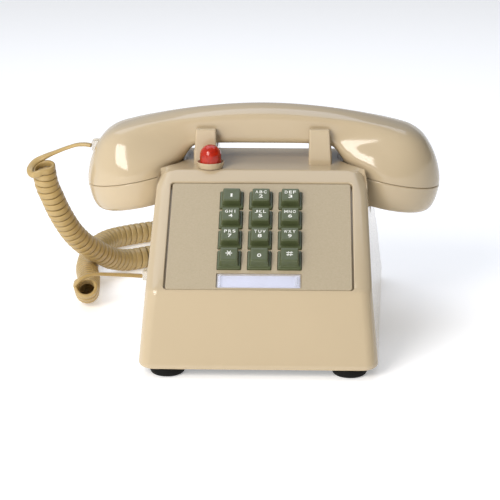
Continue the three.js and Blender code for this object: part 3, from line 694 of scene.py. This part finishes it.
def face_slab(half_x, low, high, corner, bottom, top, edge, middle=0.0):
    """A slab that lies on the sloping face, its upper edge rolled over."""
    rows = []
    for draw, d in [(0, bottom), *rolled_edge(edge, top)]:
        x, s, _ = rounded_ring(half_x - draw, low + draw, high - draw, max(corner - draw, 0.1), 6, 3)
        rows.append(on_face(np.stack([x + middle, s, np.full_like(x, d)], -1)))
    return loft(rows)


plate = face_slab(PLATE_HALF_WIDTH, PLATE_LOW, PLATE_HIGH, 1.6, PLATE_TOP - PLATE_THICK, PLATE_TOP, 0.45)
faceplate = add_piece("pebbled_faceplate", [plate], textured_abs)
holes = [moved(face_prism(KEY_HOLE_HALF, s - KEY_HOLE_HALF, s + KEY_HOLE_HALF, 0.6, 6, 0, 2), (x, 0, 0))
         for x, s in key_places.values()]
card_pocket = face_prism(CARD_HALF_WIDTH + 0.5, CARD_S - CARD_HALF_HEIGHT - 0.5,
                         CARD_S + CARD_HALF_HEIGHT + 0.5, 0.7, -PLATE_TOP + 1.7)
carve(faceplate, [*holes, card_pocket])
place(even_shading(faceplate), "base", "textured_sand_abs", "faceplate")


# ---- Designation card and its window -------------------------------------------------------------------
# A strip of blank white card under a clear moulded window that springs into the pocket.
# The window has a rib along its left end and a finger tab at its right end.
card_stock, tree, shader = new_material("white_card_stock", "#dcdff2", 0.7)
fibre = texture(tree, "Noise", 1500.0, {"Detail": 4.0})
vary_colour(tree, shader, fibre.outputs["Fac"], linear("#d5d9ef"), linear("#e3e6f6"))

# Moulded acrylic, clear, with the slight swirl that the melt leaves as it fills the mould.
clear_acrylic, tree, shader = new_material("clear_acrylic", "#f2f4ff", 0.06, IOR=1.49, Alpha=0.22)
swirl = texture(tree, "Noise", 200.0)
dent(tree, shader, swirl.outputs["Fac"], 0.08, 0.0002)

POCKET_FLOOR = PLATE_TOP - 1.7
RIB_X, TAB_X = 1.6 - CARD_HALF_WIDTH, CARD_HALF_WIDTH - 2
low_s, high_s = CARD_S - CARD_HALF_HEIGHT, CARD_S + CARD_HALF_HEIGHT
strip = face_slab(CARD_HALF_WIDTH - 0.6, low_s + 0.4, high_s - 0.4, 0.4, POCKET_FLOOR + 0.1,
                  POCKET_FLOOR + 0.4, 0.05)
card = add_piece("blank_card", [strip], card_stock)
place(card, "base", "card", "designation_card")
pane = face_slab(CARD_HALF_WIDTH, low_s, high_s, 0.6, POCKET_FLOOR + 0.7, PLATE_TOP - 0.1, 0.2)
rib = face_slab(0.7, low_s + 0.4, high_s - 0.4, 0.5, PLATE_TOP - 0.1, PLATE_TOP + 0.45, 0.25, RIB_X)
tab = face_slab(1.5, low_s + 1.2, high_s - 1.2, 0.6, PLATE_TOP - 0.1, PLATE_TOP + 0.5, 0.3, TAB_X)
tab_ridge = face_slab(0.35, low_s + 2.6, high_s - 2.6, 0.3, PLATE_TOP + 0.5, PLATE_TOP + 0.8, 0.15, TAB_X)
window = add_piece("card_window", [pane, rib, tab, tab_ridge], clear_acrylic)
place(window, "base", "clear_plastic", "designation_window")


# ---- Keys ----------------------------------------------------------------------------------------------
# Twelve ABS keys in olive green: a square skirt with a raised cap that leans back, gently dished on top,
# with the characters moulded through in white.
olive_abs = polished_abs("olive_abs", "#525a3a", 0.3, 0.1)
white_ink, tree, shader = new_material("white_moulded_character", "#f1f1ea", 0.45)
wear = texture(tree, "Noise", 1200.0)
vary_colour(tree, shader, wear.outputs["Fac"], linear("#e6e6dc"), linear("#fbfbf6"))

KEY_LEVELS = [
    # half width, half depth, lean up the slope, height, corner radius
    (2.6, 2.6, 0, -9, 0.4), (2.6, 2.6, 0, -5, 0.4), (6.8, 6.8, 0, -5, 0.6), (6.8, 6.8, 0, 0.25, 0.6),
    (6.73, 6.73, 0, 0.48, 0.6), (6.55, 6.55, 0, 0.6, 0.6), (5.75, 5.6, 0.25, 0.64, 0.6),
    (5.6, 5.45, 0.26, 0.9, 0.6), (5.5, 5.35, 0.28, 1.7, 0.6), (5.2, 5.1, 0.36, 3.4, 0.6),
    (5.05, 4.95, 0.4, 4.4, 0.65), (4.98, 4.86, 0.42, 4.74, 0.65), (4.84, 4.7, 0.42, 4.93, 0.6),
    (4.6, 4.45, 0.42, 5.0, 0.55), (3.2, 3.1, 0.42, 4.93, 0.5), (1.6, 1.5, 0.42, 4.88, 0.4),
]
KEY_TOP = 5.0
LEGENDS = {
    "key_1": ("", "1"), "key_2": ("ABC", "2"), "key_3": ("DEF", "3"), "key_4": ("GHI", "4"),
    "key_5": ("JKL", "5"), "key_6": ("MNO", "6"), "key_7": ("PRS", "7"), "key_8": ("TUV", "8"),
    "key_9": ("WXY", "9"), "key_star": ("", "*"), "key_0": ("", "0"), "key_hash": ("", "#"),
}
LETTER_HEIGHT, DIGIT_HEIGHT = 2.15, 2.45
LETTER_WIDTH, LETTER_PITCH, DIGIT_WIDTH = 1.75, 2.45, 2.35
LETTER_S, DIGIT_S, STAR_S, HASH_S = 2.35, -0.95, 1.1, 1.0
OWN_WIDTH = {"1": 1.1, "I": 0.45, "M": 2.0, "W": 2.1}
HASH_GAP, HASH_LEAN = 0.8, 1.45
INK_HALF_THICK = 0.1


def flat_letter(letter, width, height):
    """One character as a thin part lying flat about the origin, drawn to a width and a height."""
    letters = bpy.data.curves.new("letter", "FONT")
    letters.body = letter
    letters.offset = 0.008
    letters.extrude = 0.5
    letters.resolution_u = 3
    holder = bpy.data.objects.new("letter", letters)
    bpy.context.scene.collection.objects.link(holder)
    outline = holder.to_mesh()
    points = np.array([v.co for v in outline.vertices])
    faces = [list(polygon.vertices) for polygon in outline.polygons]
    holder.to_mesh_clear()
    bpy.data.objects.remove(holder)
    low, high = points.min(0), points.max(0)
    points = (points - (low + high) / 2) * [width / (high[0] - low[0]), height / (high[1] - low[1]), 1]
    return points * [1, 1, 2 * INK_HALF_THICK], faces


def bar(reach, half_width, turn):
    """One thin bar through the origin, turned about it."""
    far_corner = np.array([reach, half_width, INK_HALF_THICK])
    points, faces = rounded_block(-far_corner, far_corner, half_width * 0.7)
    x, y, z = np.moveaxis(points, -1, 0)
    cos, sin = math.cos(turn), math.sin(turn)
    return np.stack([x * cos - y * sin, x * sin + y * cos, z], -1), faces


def legend_parts(letters, digit):
    """What is moulded into one key: a sign or a digit alone, or a digit under three small letters."""
    if digit == "*":
        return [moved(bar(1.95, 0.25, turn), (0, STAR_S, 0)) for turn in (0, math.pi / 3, -math.pi / 3)]
    if digit == "#":
        across = [moved(bar(1.9, 0.2, 0), (0, HASH_S + offset, 0)) for offset in (HASH_GAP, -HASH_GAP)]
        upright = [moved(bar(1.7, 0.2, HASH_LEAN), (offset, HASH_S, 0)) for offset in (HASH_GAP, -HASH_GAP)]
        return across + upright
    flat_digit = flat_letter(digit, OWN_WIDTH.get(digit, DIGIT_WIDTH), DIGIT_HEIGHT)
    parts = [moved(flat_digit, (0, DIGIT_S if letters else DIGIT_S + 0.6, 0))]
    for i, letter in enumerate(letters):
        small = flat_letter(letter, OWN_WIDTH.get(letter, LETTER_WIDTH), LETTER_HEIGHT)
        parts.append(moved(small, ((i - 1) * LETTER_PITCH, LETTER_S, 0)))
    return parts


for name, (x, s) in key_places.items():
    rows = []
    for half_x, half_s, lean, d, corner in KEY_LEVELS:
        ring_x, ring_s, _ = rounded_ring(half_x, -half_s, half_s, corner, 4, 3)
        rows.append(on_face(np.stack([ring_x + x, ring_s + s + lean, np.full_like(ring_x, d)], -1)))
    key = add_piece(name + "_cap", [loft(rows)], olive_abs, smooth_below=50)
    place(key, name + "_button", "olive_abs", name)
    on_top = [(on_face(points + [x, s, KEY_TOP - 0.03]), faces)
              for points, faces in legend_parts(*LEGENDS[name])]
    characters = add_piece(name + "_characters", on_top, white_ink)
    place(characters, name + "_button", "olive_abs")


# ---- Message lamp --------------------------------------------------------------------------------------
# A neon bulb under a red polycarbonate dome, fluted inside to scatter its light. The dome stands in a flared
# collar of the housing's plastic.
def dome_profile(radius, wall, base, spring, steps=12):
    """Up the outside of a dome to its top, and from the top back down inside, as radius and height."""
    inner = radius - wall
    turn = np.linspace(0, math.pi / 2, steps, endpoint=False)
    outside, inside = ([(r * math.cos(a), spring + r * math.sin(a)) for a in turn] + [(0, spring + r)]
                       for r in (radius, inner))
    return [(inner, base), (radius, base), *outside], [*inside[::-1], (inner, base)]


COLLAR_PROFILE = [
    (6.9, 0.3), (7.35, 0.3), (7.5, 0.8), (7.75, 1.5), (8.05, 2.3), (8.25, 3.2), (8.38, 3.7), (8.38, 3.9),
    (8.28, 4.0), (8.0, 4.0), (7.8, 3.9), (7.5, 3.2), (7.1, 2.5), (6.9, 2.2), (6.9, 0.3),
]
collar = add_piece("flared_collar", [moved(turned(COLLAR_PROFILE, 64), (LAMP_X, LAMP_Y, TOP_Z))], sand_abs)
place(collar, "base", "sand_abs", "lamp_collar")

# Red polycarbonate with painted light and shade: its red is painted darker and lighter in small patches for
# the light that the flutes' facets break up, and the facets also break up its shine.
red_lens, tree, shader = new_material("red_polycarbonate", "#c81e10", 0.1, IOR=1.5, Transmission_Weight=0.15)
painted_facet_light = texture(tree, "Noise", 420.0, {"Detail": 3.0})
# Painted light and shade: the small darker and lighter patches of red stand in for the facets' play of light.
vary_colour(tree, shader, painted_facet_light.outputs["Fac"], linear("#8c1206"), linear("#e0330f"))
facets = texture(tree, "Voronoi", 620.0)
dent(tree, shader, facets.outputs["Distance"], 0.25, 0.0004)

LENS_RADIUS, LENS_WALL, LENS_FOOT, LENS_SPRING = 6.5, 1.1, 0.3, 7.8
FLUTES, FLUTE_DEPTH = 20, 0.5
outside, inside = dome_profile(LENS_RADIUS, LENS_WALL, LENS_FOOT, LENS_SPRING)
points, faces = turned([*outside, *inside], FLUTES * 6)
around = np.arange(FLUTES * 6) * 2 * math.pi / (FLUTES * 6)
on_inside = (np.arange(len(points)) >= len(outside))[:, None]
ripple = on_inside * FLUTE_DEPTH / 2 * (1 + np.cos(FLUTES * around))
radius = np.linalg.norm(points[..., :2], axis=-1)
shrink = 1 - ripple / np.maximum(radius, 1.5)
points = points * np.stack([shrink, shrink, np.ones_like(shrink)], -1)
lens = add_piece("fluted_lens", [moved((points, faces), (LAMP_X, LAMP_Y, TOP_Z))], red_lens)
place(lens, "base", "red_lens", "lamp_lens")

# Thin glass, warmed by the electrodes and the neon behind it.
bulb_glass, tree, shader = new_material("neon_bulb_glass", "#ffb38a", 0.05, IOR=1.5, Alpha=0.5)
glow = texture(tree, "Noise", 300.0)
vary_colour(tree, shader, glow.outputs["Fac"], linear("#ff9d70"), linear("#ffd9c0"))
BULB_PROFILE = [(0, -9), (1.6, -9), (1.9, -8.4), (2.9, -7.4), (3.2, -6.2), (3.2, 4), (3.0, 5.4), (2.4, 6.9),
                (1.4, 8.2), (0.6, 8.8), (0, 9)]
bulb = add_piece("neon_bulb", [moved(turned(BULB_PROFILE, 36), (LAMP_X, LAMP_Y, TOP_Z))], bulb_glass)
place(bulb, "base", "clear_plastic", "lamp_bulb")


# ---- Plungers ------------------------------------------------------------------------------------------
# Two nylon pins that the handset holds down through the cradle's saddles; each has a rounded head.
black_nylon, tree, shader = new_material("black_nylon", "#1c1c1b", 0.42, IOR=1.53)
scuff = texture(tree, "Noise", 260.0, {"Detail": 4.0})
vary_gloss(tree, shader, scuff.outputs["Fac"], 0.34, 0.52)

PLUNGER_RADIUS, PLUNGER_ROLL = 4, 1.2
for side, hand in ((-1, "left"), (1, "right")):
    low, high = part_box(f"plunger_{hand}")
    foot, head = low.z / MM, high.z / MM
    profile = [(0, foot), (PLUNGER_RADIUS - 0.4, foot), (PLUNGER_RADIUS, foot + 0.4)]
    profile += [(PLUNGER_RADIUS - draw, height) for draw, height in rolled_edge(PLUNGER_ROLL, head, 8)]
    profile.append((0, head))
    plunger = add_piece(f"hook_plunger_{hand}", [moved(turned(profile, 40), (side * POST_X, HANDSET_Y, 0))],
                        black_nylon)
    place(plunger, f"{hand}_plunger", "black_nylon", f"plunger_{hand}")


# ---- Feet ----------------------------------------------------------------------------------------------
# Moulded rubber discs with a rolled lower edge and a ring groove, pressed into the base plate.
foot_rubber, tree, shader = new_material("black_rubber", "#080807", 0.7, Specular_IOR_Level=0.2)
dust = texture(tree, "Noise", 400.0, {"Detail": 5.0})
vary_colour(tree, shader, dust.outputs["Fac"], linear("#050505"), linear("#0c0b0a"))
dent(tree, shader, dust.outputs["Fac"], 0.2, 0.0002)
FOOT_PROFILE = [
    (0, 0.6), (5.2, 0.6), (5.5, 0.5), (5.8, 0), (7.8, 0), (8.5, 0.12), (9.2, 0.5), (9.7, 1.05), (10.05, 1.8),
    (10.25, 2.6), (10.3, 3.4), (10.3, 4.5), (10.1, 4.7), (0, 4.7),
]
for corner in ("front_left", "front_right", "rear_left", "rear_right"):
    low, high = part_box(f"foot_{corner}")
    middle = (low + high) / 2 / MM
    foot = add_piece(f"rubber_foot_{corner}", [moved(turned(FOOT_PROFILE, 64), (middle.x, middle.y, 0))],
                     foot_rubber)
    place(foot, "base", "rubber", f"foot_{corner}")


# ---- Handset shell -------------------------------------------------------------------------------------
# One hollow ABS moulding from cup to cup. The handle is a squared oval with a flat, slightly crowned back
# that meets its sides in a crisp ridge. Towards each cup the section swells and turns round, and the ridge
# fades.
OUTER_EDGE = [(0, 134), (20, 133.3), (40, 131.4), (56, 129), (71, 126), (84, 122.8), (94, 119.6),
              (101, 114.5), (105.6, 107), (108.6, 98.5), (110.3, 90)]
INNER_EDGE = [(0, 111.2), (17, 111.2), (32, 111), (38, 110.6), (42.4, 109.5), (45, 107.2), (46.8, 104.6),
              (48.2, 102.2), (49.1, 100.2), (49.5, 98.6), (49.6, 97.2)]
for edge, reach in ((OUTER_EDGE, CUP_RADIUS), (INNER_EDGE, -CUP_RADIUS)):
    edge.append((CUP_X + reach * math.cos(CUP_TILT), CUP_Z - reach * math.sin(CUP_TILT)))
HANDLE_HALF_WIDTH = 16.2
BACK_POWER, BELLY_POWER = 4.6, 6.0
HANDSET_WALL = 2.6
BACK_CROWN = 3.9
SEAM_ROLL = 0.45
# Shares of the way from the handle's middle to the cup's rim: where the section swells to the cup's round,
# where the ridge softens and where the flat back gives way.
SWELL_SPAN, SOFTEN_SPAN, FADE_SPAN = (0.2, 0.92), (0.35, 0.75), (0.45, 0.86)


def edge_at(points, knot):
    """Points on an edge of the handset, whose other half mirrors it, so that it is level at the middle."""
    points = np.asarray(points, float)
    return spline_at(points, knot, points[1] * [-1, 1])


def ease_between(value, low, high):
    """0 below low, 1 above high, and a smooth S between them."""
    share = np.clip((value - low) / (high - low), 0, 1)
    return share * share * (3 - 2 * share)


def handset_half(side, knot, inset, columns=144):
    """Rings of half the handset at knots counted from its middle.

    Round each ring the radius is that of a squared oval, (|cos|^p + |sin|^p)^(-1/p), cut down to the back
    where that is nearer. The back is crowned: r sin + crown (r cos)^2 = 1, solved for the radius r."""
    outer, inner = edge_at(OUTER_EDGE, knot), edge_at(INNER_EDGE, knot)
    across = np.linalg.norm(outer - inner, axis=1)
    up = (outer - inner) / across[:, None]
    progress = knot / (len(OUTER_EDGE) - 1)
    swell = ease_between(progress, *SWELL_SPAN)[:, None]
    half_width = HANDLE_HALF_WIDTH + (CUP_RADIUS - HANDLE_HALF_WIDTH) * swell
    half_height = across[:, None] / 2
    angle = np.linspace(0, 2 * math.pi, columns, endpoint=False)[None]
    cos, sin = np.cos(angle), np.sin(angle)
    power = np.where(sin > 0, BACK_POWER, BELLY_POWER) * (1 - swell) + 2 * swell
    oval = (np.abs(cos) ** power + np.abs(sin) ** power) ** (-1 / power)
    crown = BACK_CROWN / half_height
    back = 2 / (np.maximum(sin, 0.02) + np.sqrt(np.maximum(sin, 0.02) ** 2 + 4 * crown * cos ** 2))
    soft = 0.02 + 0.10 * ease_between(progress, *SOFTEN_SPAN)[:, None]
    cut = -soft_larger(-oval, -back, soft)
    fade = (1 - ease_between(progress, *FADE_SPAN))[:, None]
    radius = oval + (np.where(sin > 0, cut, oval) - oval) * fade
    wide = radius * cos * (half_width - inset)
    high = radius * sin * (half_height - inset)
    middle = (outer + inner) / 2
    return np.stack([side * (middle[:, :1] + up[:, :1] * high), HANDSET_Y + wide,
                     middle[:, 1:] + up[:, 1:] * high], -1)


knots = len(OUTER_EDGE) - 1
fine = np.concatenate([np.linspace(0, knots, 66, endpoint=False), [knots - 0.04, knots]])
insets = np.zeros((len(fine), 1))
insets[-1] = SEAM_ROLL
outside = [handset_half(side, fine, insets) for side in (-1, 1)]
coarse = np.linspace(0, knots, 34)
inside = [handset_half(side, coarse, HANDSET_WALL) for side in (-1, 1)]
rows = np.concatenate([outside[0][::-1], outside[1][1:], inside[1][::-1], inside[0][1:], outside[0][-1:]])
handset = add_piece("handset_body", [(rows, merge_grid(len(rows), rows.shape[1]))], sand_abs, smooth_below=38)

# The square hole for the cord's plug, in the end of the shell.
HANDSET_PLUG_Z, PLUG_HOLE_HALF = 107.2, 4.1
hole_low = (-116, HANDSET_Y - PLUG_HOLE_HALF, HANDSET_PLUG_Z - PLUG_HOLE_HALF)
hole_high = (-90, HANDSET_Y + PLUG_HOLE_HALF, HANDSET_PLUG_Z + PLUG_HOLE_HALF)
carve(handset, [rounded_block(hole_low, hole_high, 0.6)])
handset.data.set_sharp_from_angle(angle=math.radians(38))
place(handset, "handset", "sand_abs", "handset_shell")


# ---- Handset caps --------------------------------------------------------------------------------------
# Two ABS caps that screw into the cups over the microphone and the earpiece, with rings of sound holes in
# their faces. Each has a fine lip at the joint.
CAP_PROFILE = [
    (0, -16.6), (9, -16.65), (15, -16.9), (19.5, -17.4), (22.6, -17.9), (24.6, -18.0), (26.0, -17.65),
    (27.4, -16.8), (28.5, -15.6), (29.3, -14.0), (30.0, -12.0), (30.5, -9.8), (30.8, -7), (30.95, -4),
    (31.0, -1.2), (30.98, -0.75), (30.8, -0.45), (30.5, -0.3), (27, -0.3), (27, 3.5), (25.2, 3.5),
    (25.2, -12), (24.4, -13.8), (23, -14.6), (0, -14.6),
]


def hole_ring(count, radius, bore):
    """Round cutters in a ring through the cap's face."""
    angle = np.arange(count) * 2 * math.pi / count
    return [moved(turned([(0, -20), (bore, -20), (bore, -13), (0, -13)], 16),
                  (radius * math.cos(a), radius * math.sin(a), 0)) for a in angle]


for side, name, bore in ((-1, "transmitter_cap", 1.1), (1, "receiver_cap", 0.9)):
    sound_holes = [*hole_ring(1, 0, bore), *hole_ring(6, 5, bore), *hole_ring(12, 10, bore)]
    sound_holes += hole_ring(18, 15, bore) if side < 0 else []
    cap = add_piece(name + "_moulding", [at_cup(turned(CAP_PROFILE, 128), side)], sand_abs, smooth_below=40)
    carve(cap, [at_cup(part, side) for part in sound_holes])
    cap.data.set_sharp_from_angle(angle=math.radians(38))
    place(cap, "handset", "sand_abs", name)


# ---- Cord plugs ----------------------------------------------------------------------------------------
# Clear modular plugs: a stepped body with a springy latch along one side, and four gilt contacts near the
# nose.
plug_clear, tree, shader = new_material("clear_polycarbonate", "#cfbf9a", 0.12, IOR=1.58, Alpha=0.34)
haze = texture(tree, "Noise", 500.0)
vary_gloss(tree, shader, haze.outputs["Fac"], 0.08, 0.22)

# Gold-flashed spring wire, polished in patches where it wipes against its mate.
gilt, tree, shader = new_material("gilt_contact", "#d9b45a", 0.25, Metallic=1.0)
wipe = texture(tree, "Noise", 900.0)
vary_gloss(tree, shader, wipe.outputs["Fac"], 0.18, 0.34)

CONTACT_PITCH = 1.02
for name, body in (("cord_plug_base", "base"), ("cord_plug_handset", "handset")):
    low, high = (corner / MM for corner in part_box(name))
    y, z, nose = (low.y + high.y) / 2, (low.z + high.z) / 2, high.x
    parts = [
        rounded_block((low.x, y - 3.3, z - 3.3), (nose - 1, y + 3.3, z + 2.6), 0.4, 0.3),
        rounded_block((nose - 5, y - 3.85, z - 3.6), (nose, y + 3.85, z + 2.4), 0.3, 0.25),
        rounded_block((low.x + 1, y - 1.5, z + 2.5), (nose - 0.5, y + 1.5, z + 3.8), 0.3, 0.25),
    ]
    plug = add_piece(name + "_body", parts, plug_clear)
    place(plug, body, "clear_plastic", name)
    contacts = []
    for i in range(4):
        edge = y - 1.75 + CONTACT_PITCH * i
        contacts.append(rounded_block((nose - 4, edge, z - 3.8), (nose - 0.3, edge + 0.45, z - 1.6), 0.1))
    place(add_piece(name + "_contacts", contacts, gilt), body, "brass")


# ---- Base plate, screws and volume wheel ---------------------------------------------------------------
# The underside is a pressed steel plate in dark stoving enamel, held by two zinc-plated screws at the back.
# The ringer's volume is set by a ribbed nylon wheel whose rim stands through a slot in the plate.
def worn_metal(name, dark, light, roughness, metallic, scale):
    """A metal whose colour and gloss both drift between two values with a fine noise."""
    material, tree, shader = new_material(name, light, roughness, Metallic=metallic)
    wear = texture(tree, "Noise", scale, {"Detail": 4.0})
    vary_colour(tree, shader, wear.outputs["Fac"], linear(dark), linear(light))
    vary_gloss(tree, shader, wear.outputs["Fac"], roughness * 0.75, roughness * 1.3)
    return material


def dress(material, *names):
    """Gives carried-over solids their material."""
    for name in names:
        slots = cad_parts[name].data.materials
        for index in range(len(slots)):
            slots[index] = material


def lying(part, along):
    """A turned part laid down so that its axis runs along X or Y."""
    x, y, z = np.moveaxis(np.asarray(part[0], float), -1, 0)
    return np.stack([z, y, -x] if along == "X" else [x, -z, y], -1), part[1]


stoved_enamel = worn_metal("stoved_enamel_steel", "#30312f", "#42433f", 0.5, 0.0, 220.0)
zinc_plate = worn_metal("zinc_plated_steel", "#8f9396", "#b9bcbe", 0.34, 1.0, 300.0)
dress(stoved_enamel, "base_plate")

WHEEL_X, WHEEL_Y, WHEEL_Z, WHEEL_RIBS = 50.0, -12.0, 12.0, 48
WHEEL_PROFILE = [(0, -6.6), (1.4, -6.6), (1.6, -6.4), (1.6, -2.4), (9.9, -2.4), (10.5, -2.0), (10.6, -1.6),
                 (10.6, 1.6), (10.5, 2.0), (9.9, 2.4), (1.6, 2.4), (1.6, 6.4), (1.4, 6.6), (0, 6.6)]
points, faces = turned(WHEEL_PROFILE, WHEEL_RIBS * 4)
around = np.arange(WHEEL_RIBS * 4) * math.pi / 2
rib = np.where(np.linalg.norm(points[..., :2], axis=-1) > 9, 1 - 0.018 * (1 + np.cos(around)), 1.0)
points = points * np.stack([rib, rib, np.ones_like(rib)], -1)
wheel = add_piece("ribbed_volume_wheel", [moved(lying((points, faces), "Y"), (WHEEL_X, WHEEL_Y, WHEEL_Z))],
                  black_nylon)
place(wheel, "ringer_volume_wheel", "black_nylon", "volume_wheel")

PLATE_SCREW_Y = 80
PLATE_SCREW_PROFILE = [(0, 3), (2.9, 3), (3.25, 3.15), (3.4, 3.5), (3.4, 4.7), (1.3, 4.7), (1.3, 15.2),
                       (0.5, 16), (0, 16)]
for hand, x in (("left", -36.0), ("right", 36.0)):
    shank = moved(turned(PLATE_SCREW_PROFILE, 32), (x, PLATE_SCREW_Y, 0))
    screw = add_piece(f"plate_screw_{hand}", [shank], zinc_plate)
    carve(screw, [rounded_block((x - 4, PLATE_SCREW_Y - 0.4, 2), (x + 4, PLATE_SCREW_Y + 0.4, 3.7), 0.05)])
    place(screw, "base", "plated_steel", f"housing_screw_{hand}")


# ---- Sockets -------------------------------------------------------------------------------------------
# Black moulded modular sockets: one in the left side for the handset cord, one at the back for the line.
# Four springy gilt wires run along the roof of each.
# Where the wires start and end, the line they stand about, and the height of the roof.
JACK_WIRES = {"handset_jack": (-69.6, -63, 40, 22.0), "line_jack": (86.5, 94, 0, 21.7)}
for name, (start, end, middle, roof) in JACK_WIRES.items():
    wires = []
    for i in range(4):
        offset = middle + CONTACT_PITCH * (i - 1.5)
        low, high = (offset - 0.2, roof - 0.5), (offset + 0.2, roof - 0.1)
        if name == "handset_jack":
            wires.append(rounded_block((start, low[0], low[1]), (end, high[0], high[1]), 0.1))
        else:
            wires.append(rounded_block((low[0], start, low[1]), (high[0], end, high[1]), 0.1))
    place(add_piece(name + "_wires", wires, gilt), "base", "brass")
moulded_black = polished_abs("black_moulded_nylon", "#20201f", 0.38)
dress(moulded_black, "handset_jack", "line_jack", "hook_switch_contacts", "keypad_frame", "network_block",
      "transmitter_cup")


# ---- Ringer --------------------------------------------------------------------------------------------
# Two spun brass gongs on the ends of a plated steel frame, with a wound coil that swings a brass clapper
# between them.
spun_brass = worn_metal("spun_brass", "#94743a", "#bd9a52", 0.28, 1.0, 160.0)
GONG_PROFILE = [(1.8, 27), (5, 26.9), (9, 26.4), (12.8, 25.2), (16, 23.6), (18.1, 21.7), (19.4, 19.5),
                (19.9, 17.2), (20, 15), (19.4, 14.8), (18.8, 15), (18.7, 17), (18.2, 19), (17, 20.9),
                (15.3, 22.5), (12.3, 24.1), (8.8, 25.2), (5, 25.7), (1.8, 25.8), (1.8, 27)]
GONG_SCREW_PROFILE = [(0, 18), (1.3, 18), (1.3, 27.3), (3.6, 27.3), (3.6, 28.2), (3.2, 28.9), (2.2, 29.15),
                      (0, 29.2)]
GONG_Y = -50
for hand, x in (("left", -28.0), ("right", 28.0)):
    dome = moved(turned(GONG_PROFILE[::-1], 72), (x, GONG_Y, 0))
    gong = add_piece(f"spun_gong_{hand}", [dome], spun_brass)
    place(gong, "base", "brass", f"gong_{hand}")
    shank = moved(turned(GONG_SCREW_PROFILE, 32), (x, GONG_Y, 0))
    screw = add_piece(f"slotted_screw_{hand}", [shank], zinc_plate)
    carve(screw, [rounded_block((x - 4, GONG_Y - 0.4, 28.5), (x + 4, GONG_Y + 0.4, 30), 0.05)])
    place(screw, "base", "plated_steel", f"gong_screw_{hand}")

copper_wire = worn_metal("enamelled_copper_wire", "#6e3617", "#a3582b", 0.3, 0.7, 500.0)
wire_turns = np.linspace(-15.0, 15.0, 121)
bulge = 8.72 + 0.14 * np.cos(np.arange(121) * math.pi)
coil_profile = [(0, -16.2), (9, -16.2), (9, -15.3), *zip(bulge, wire_turns), (9, 15.3), (9, 16.2), (0, 16.2)]
winding = add_piece("wound_coil", [moved(lying(turned(coil_profile, 48), "X"), (0, -12, 21))], copper_wire)
place(winding, "base", "coil_winding", "ringer_coil")
dress(spun_brass, "clapper")


# ---- Hook switch, keypad board and handset capsules ----------------------------------------------------
# Pressed and plated steel brackets, a green laminate board under the keys, and the two sealed capsules and
# the balancing weight inside the handset.
dress(zinc_plate, "hook_lever", "hook_switch_bracket", "ringer_frame", "handset_weight", "transmitter_unit",
      "receiver_unit")

# Glass laminate under green lacquer, the cloth's weave showing through as fine checks.
green_laminate, tree, shader = new_material("green_laminate", "#2b5a33", 0.45, IOR=1.5)
weave = texture(tree, "Checker", 1600.0, {"Color1": linear("#285530"), "Color2": linear("#2f6238")})
tree.links.new(weave.outputs["Color"], shader.inputs["Base Color"])
dress(green_laminate, "keypad_board")
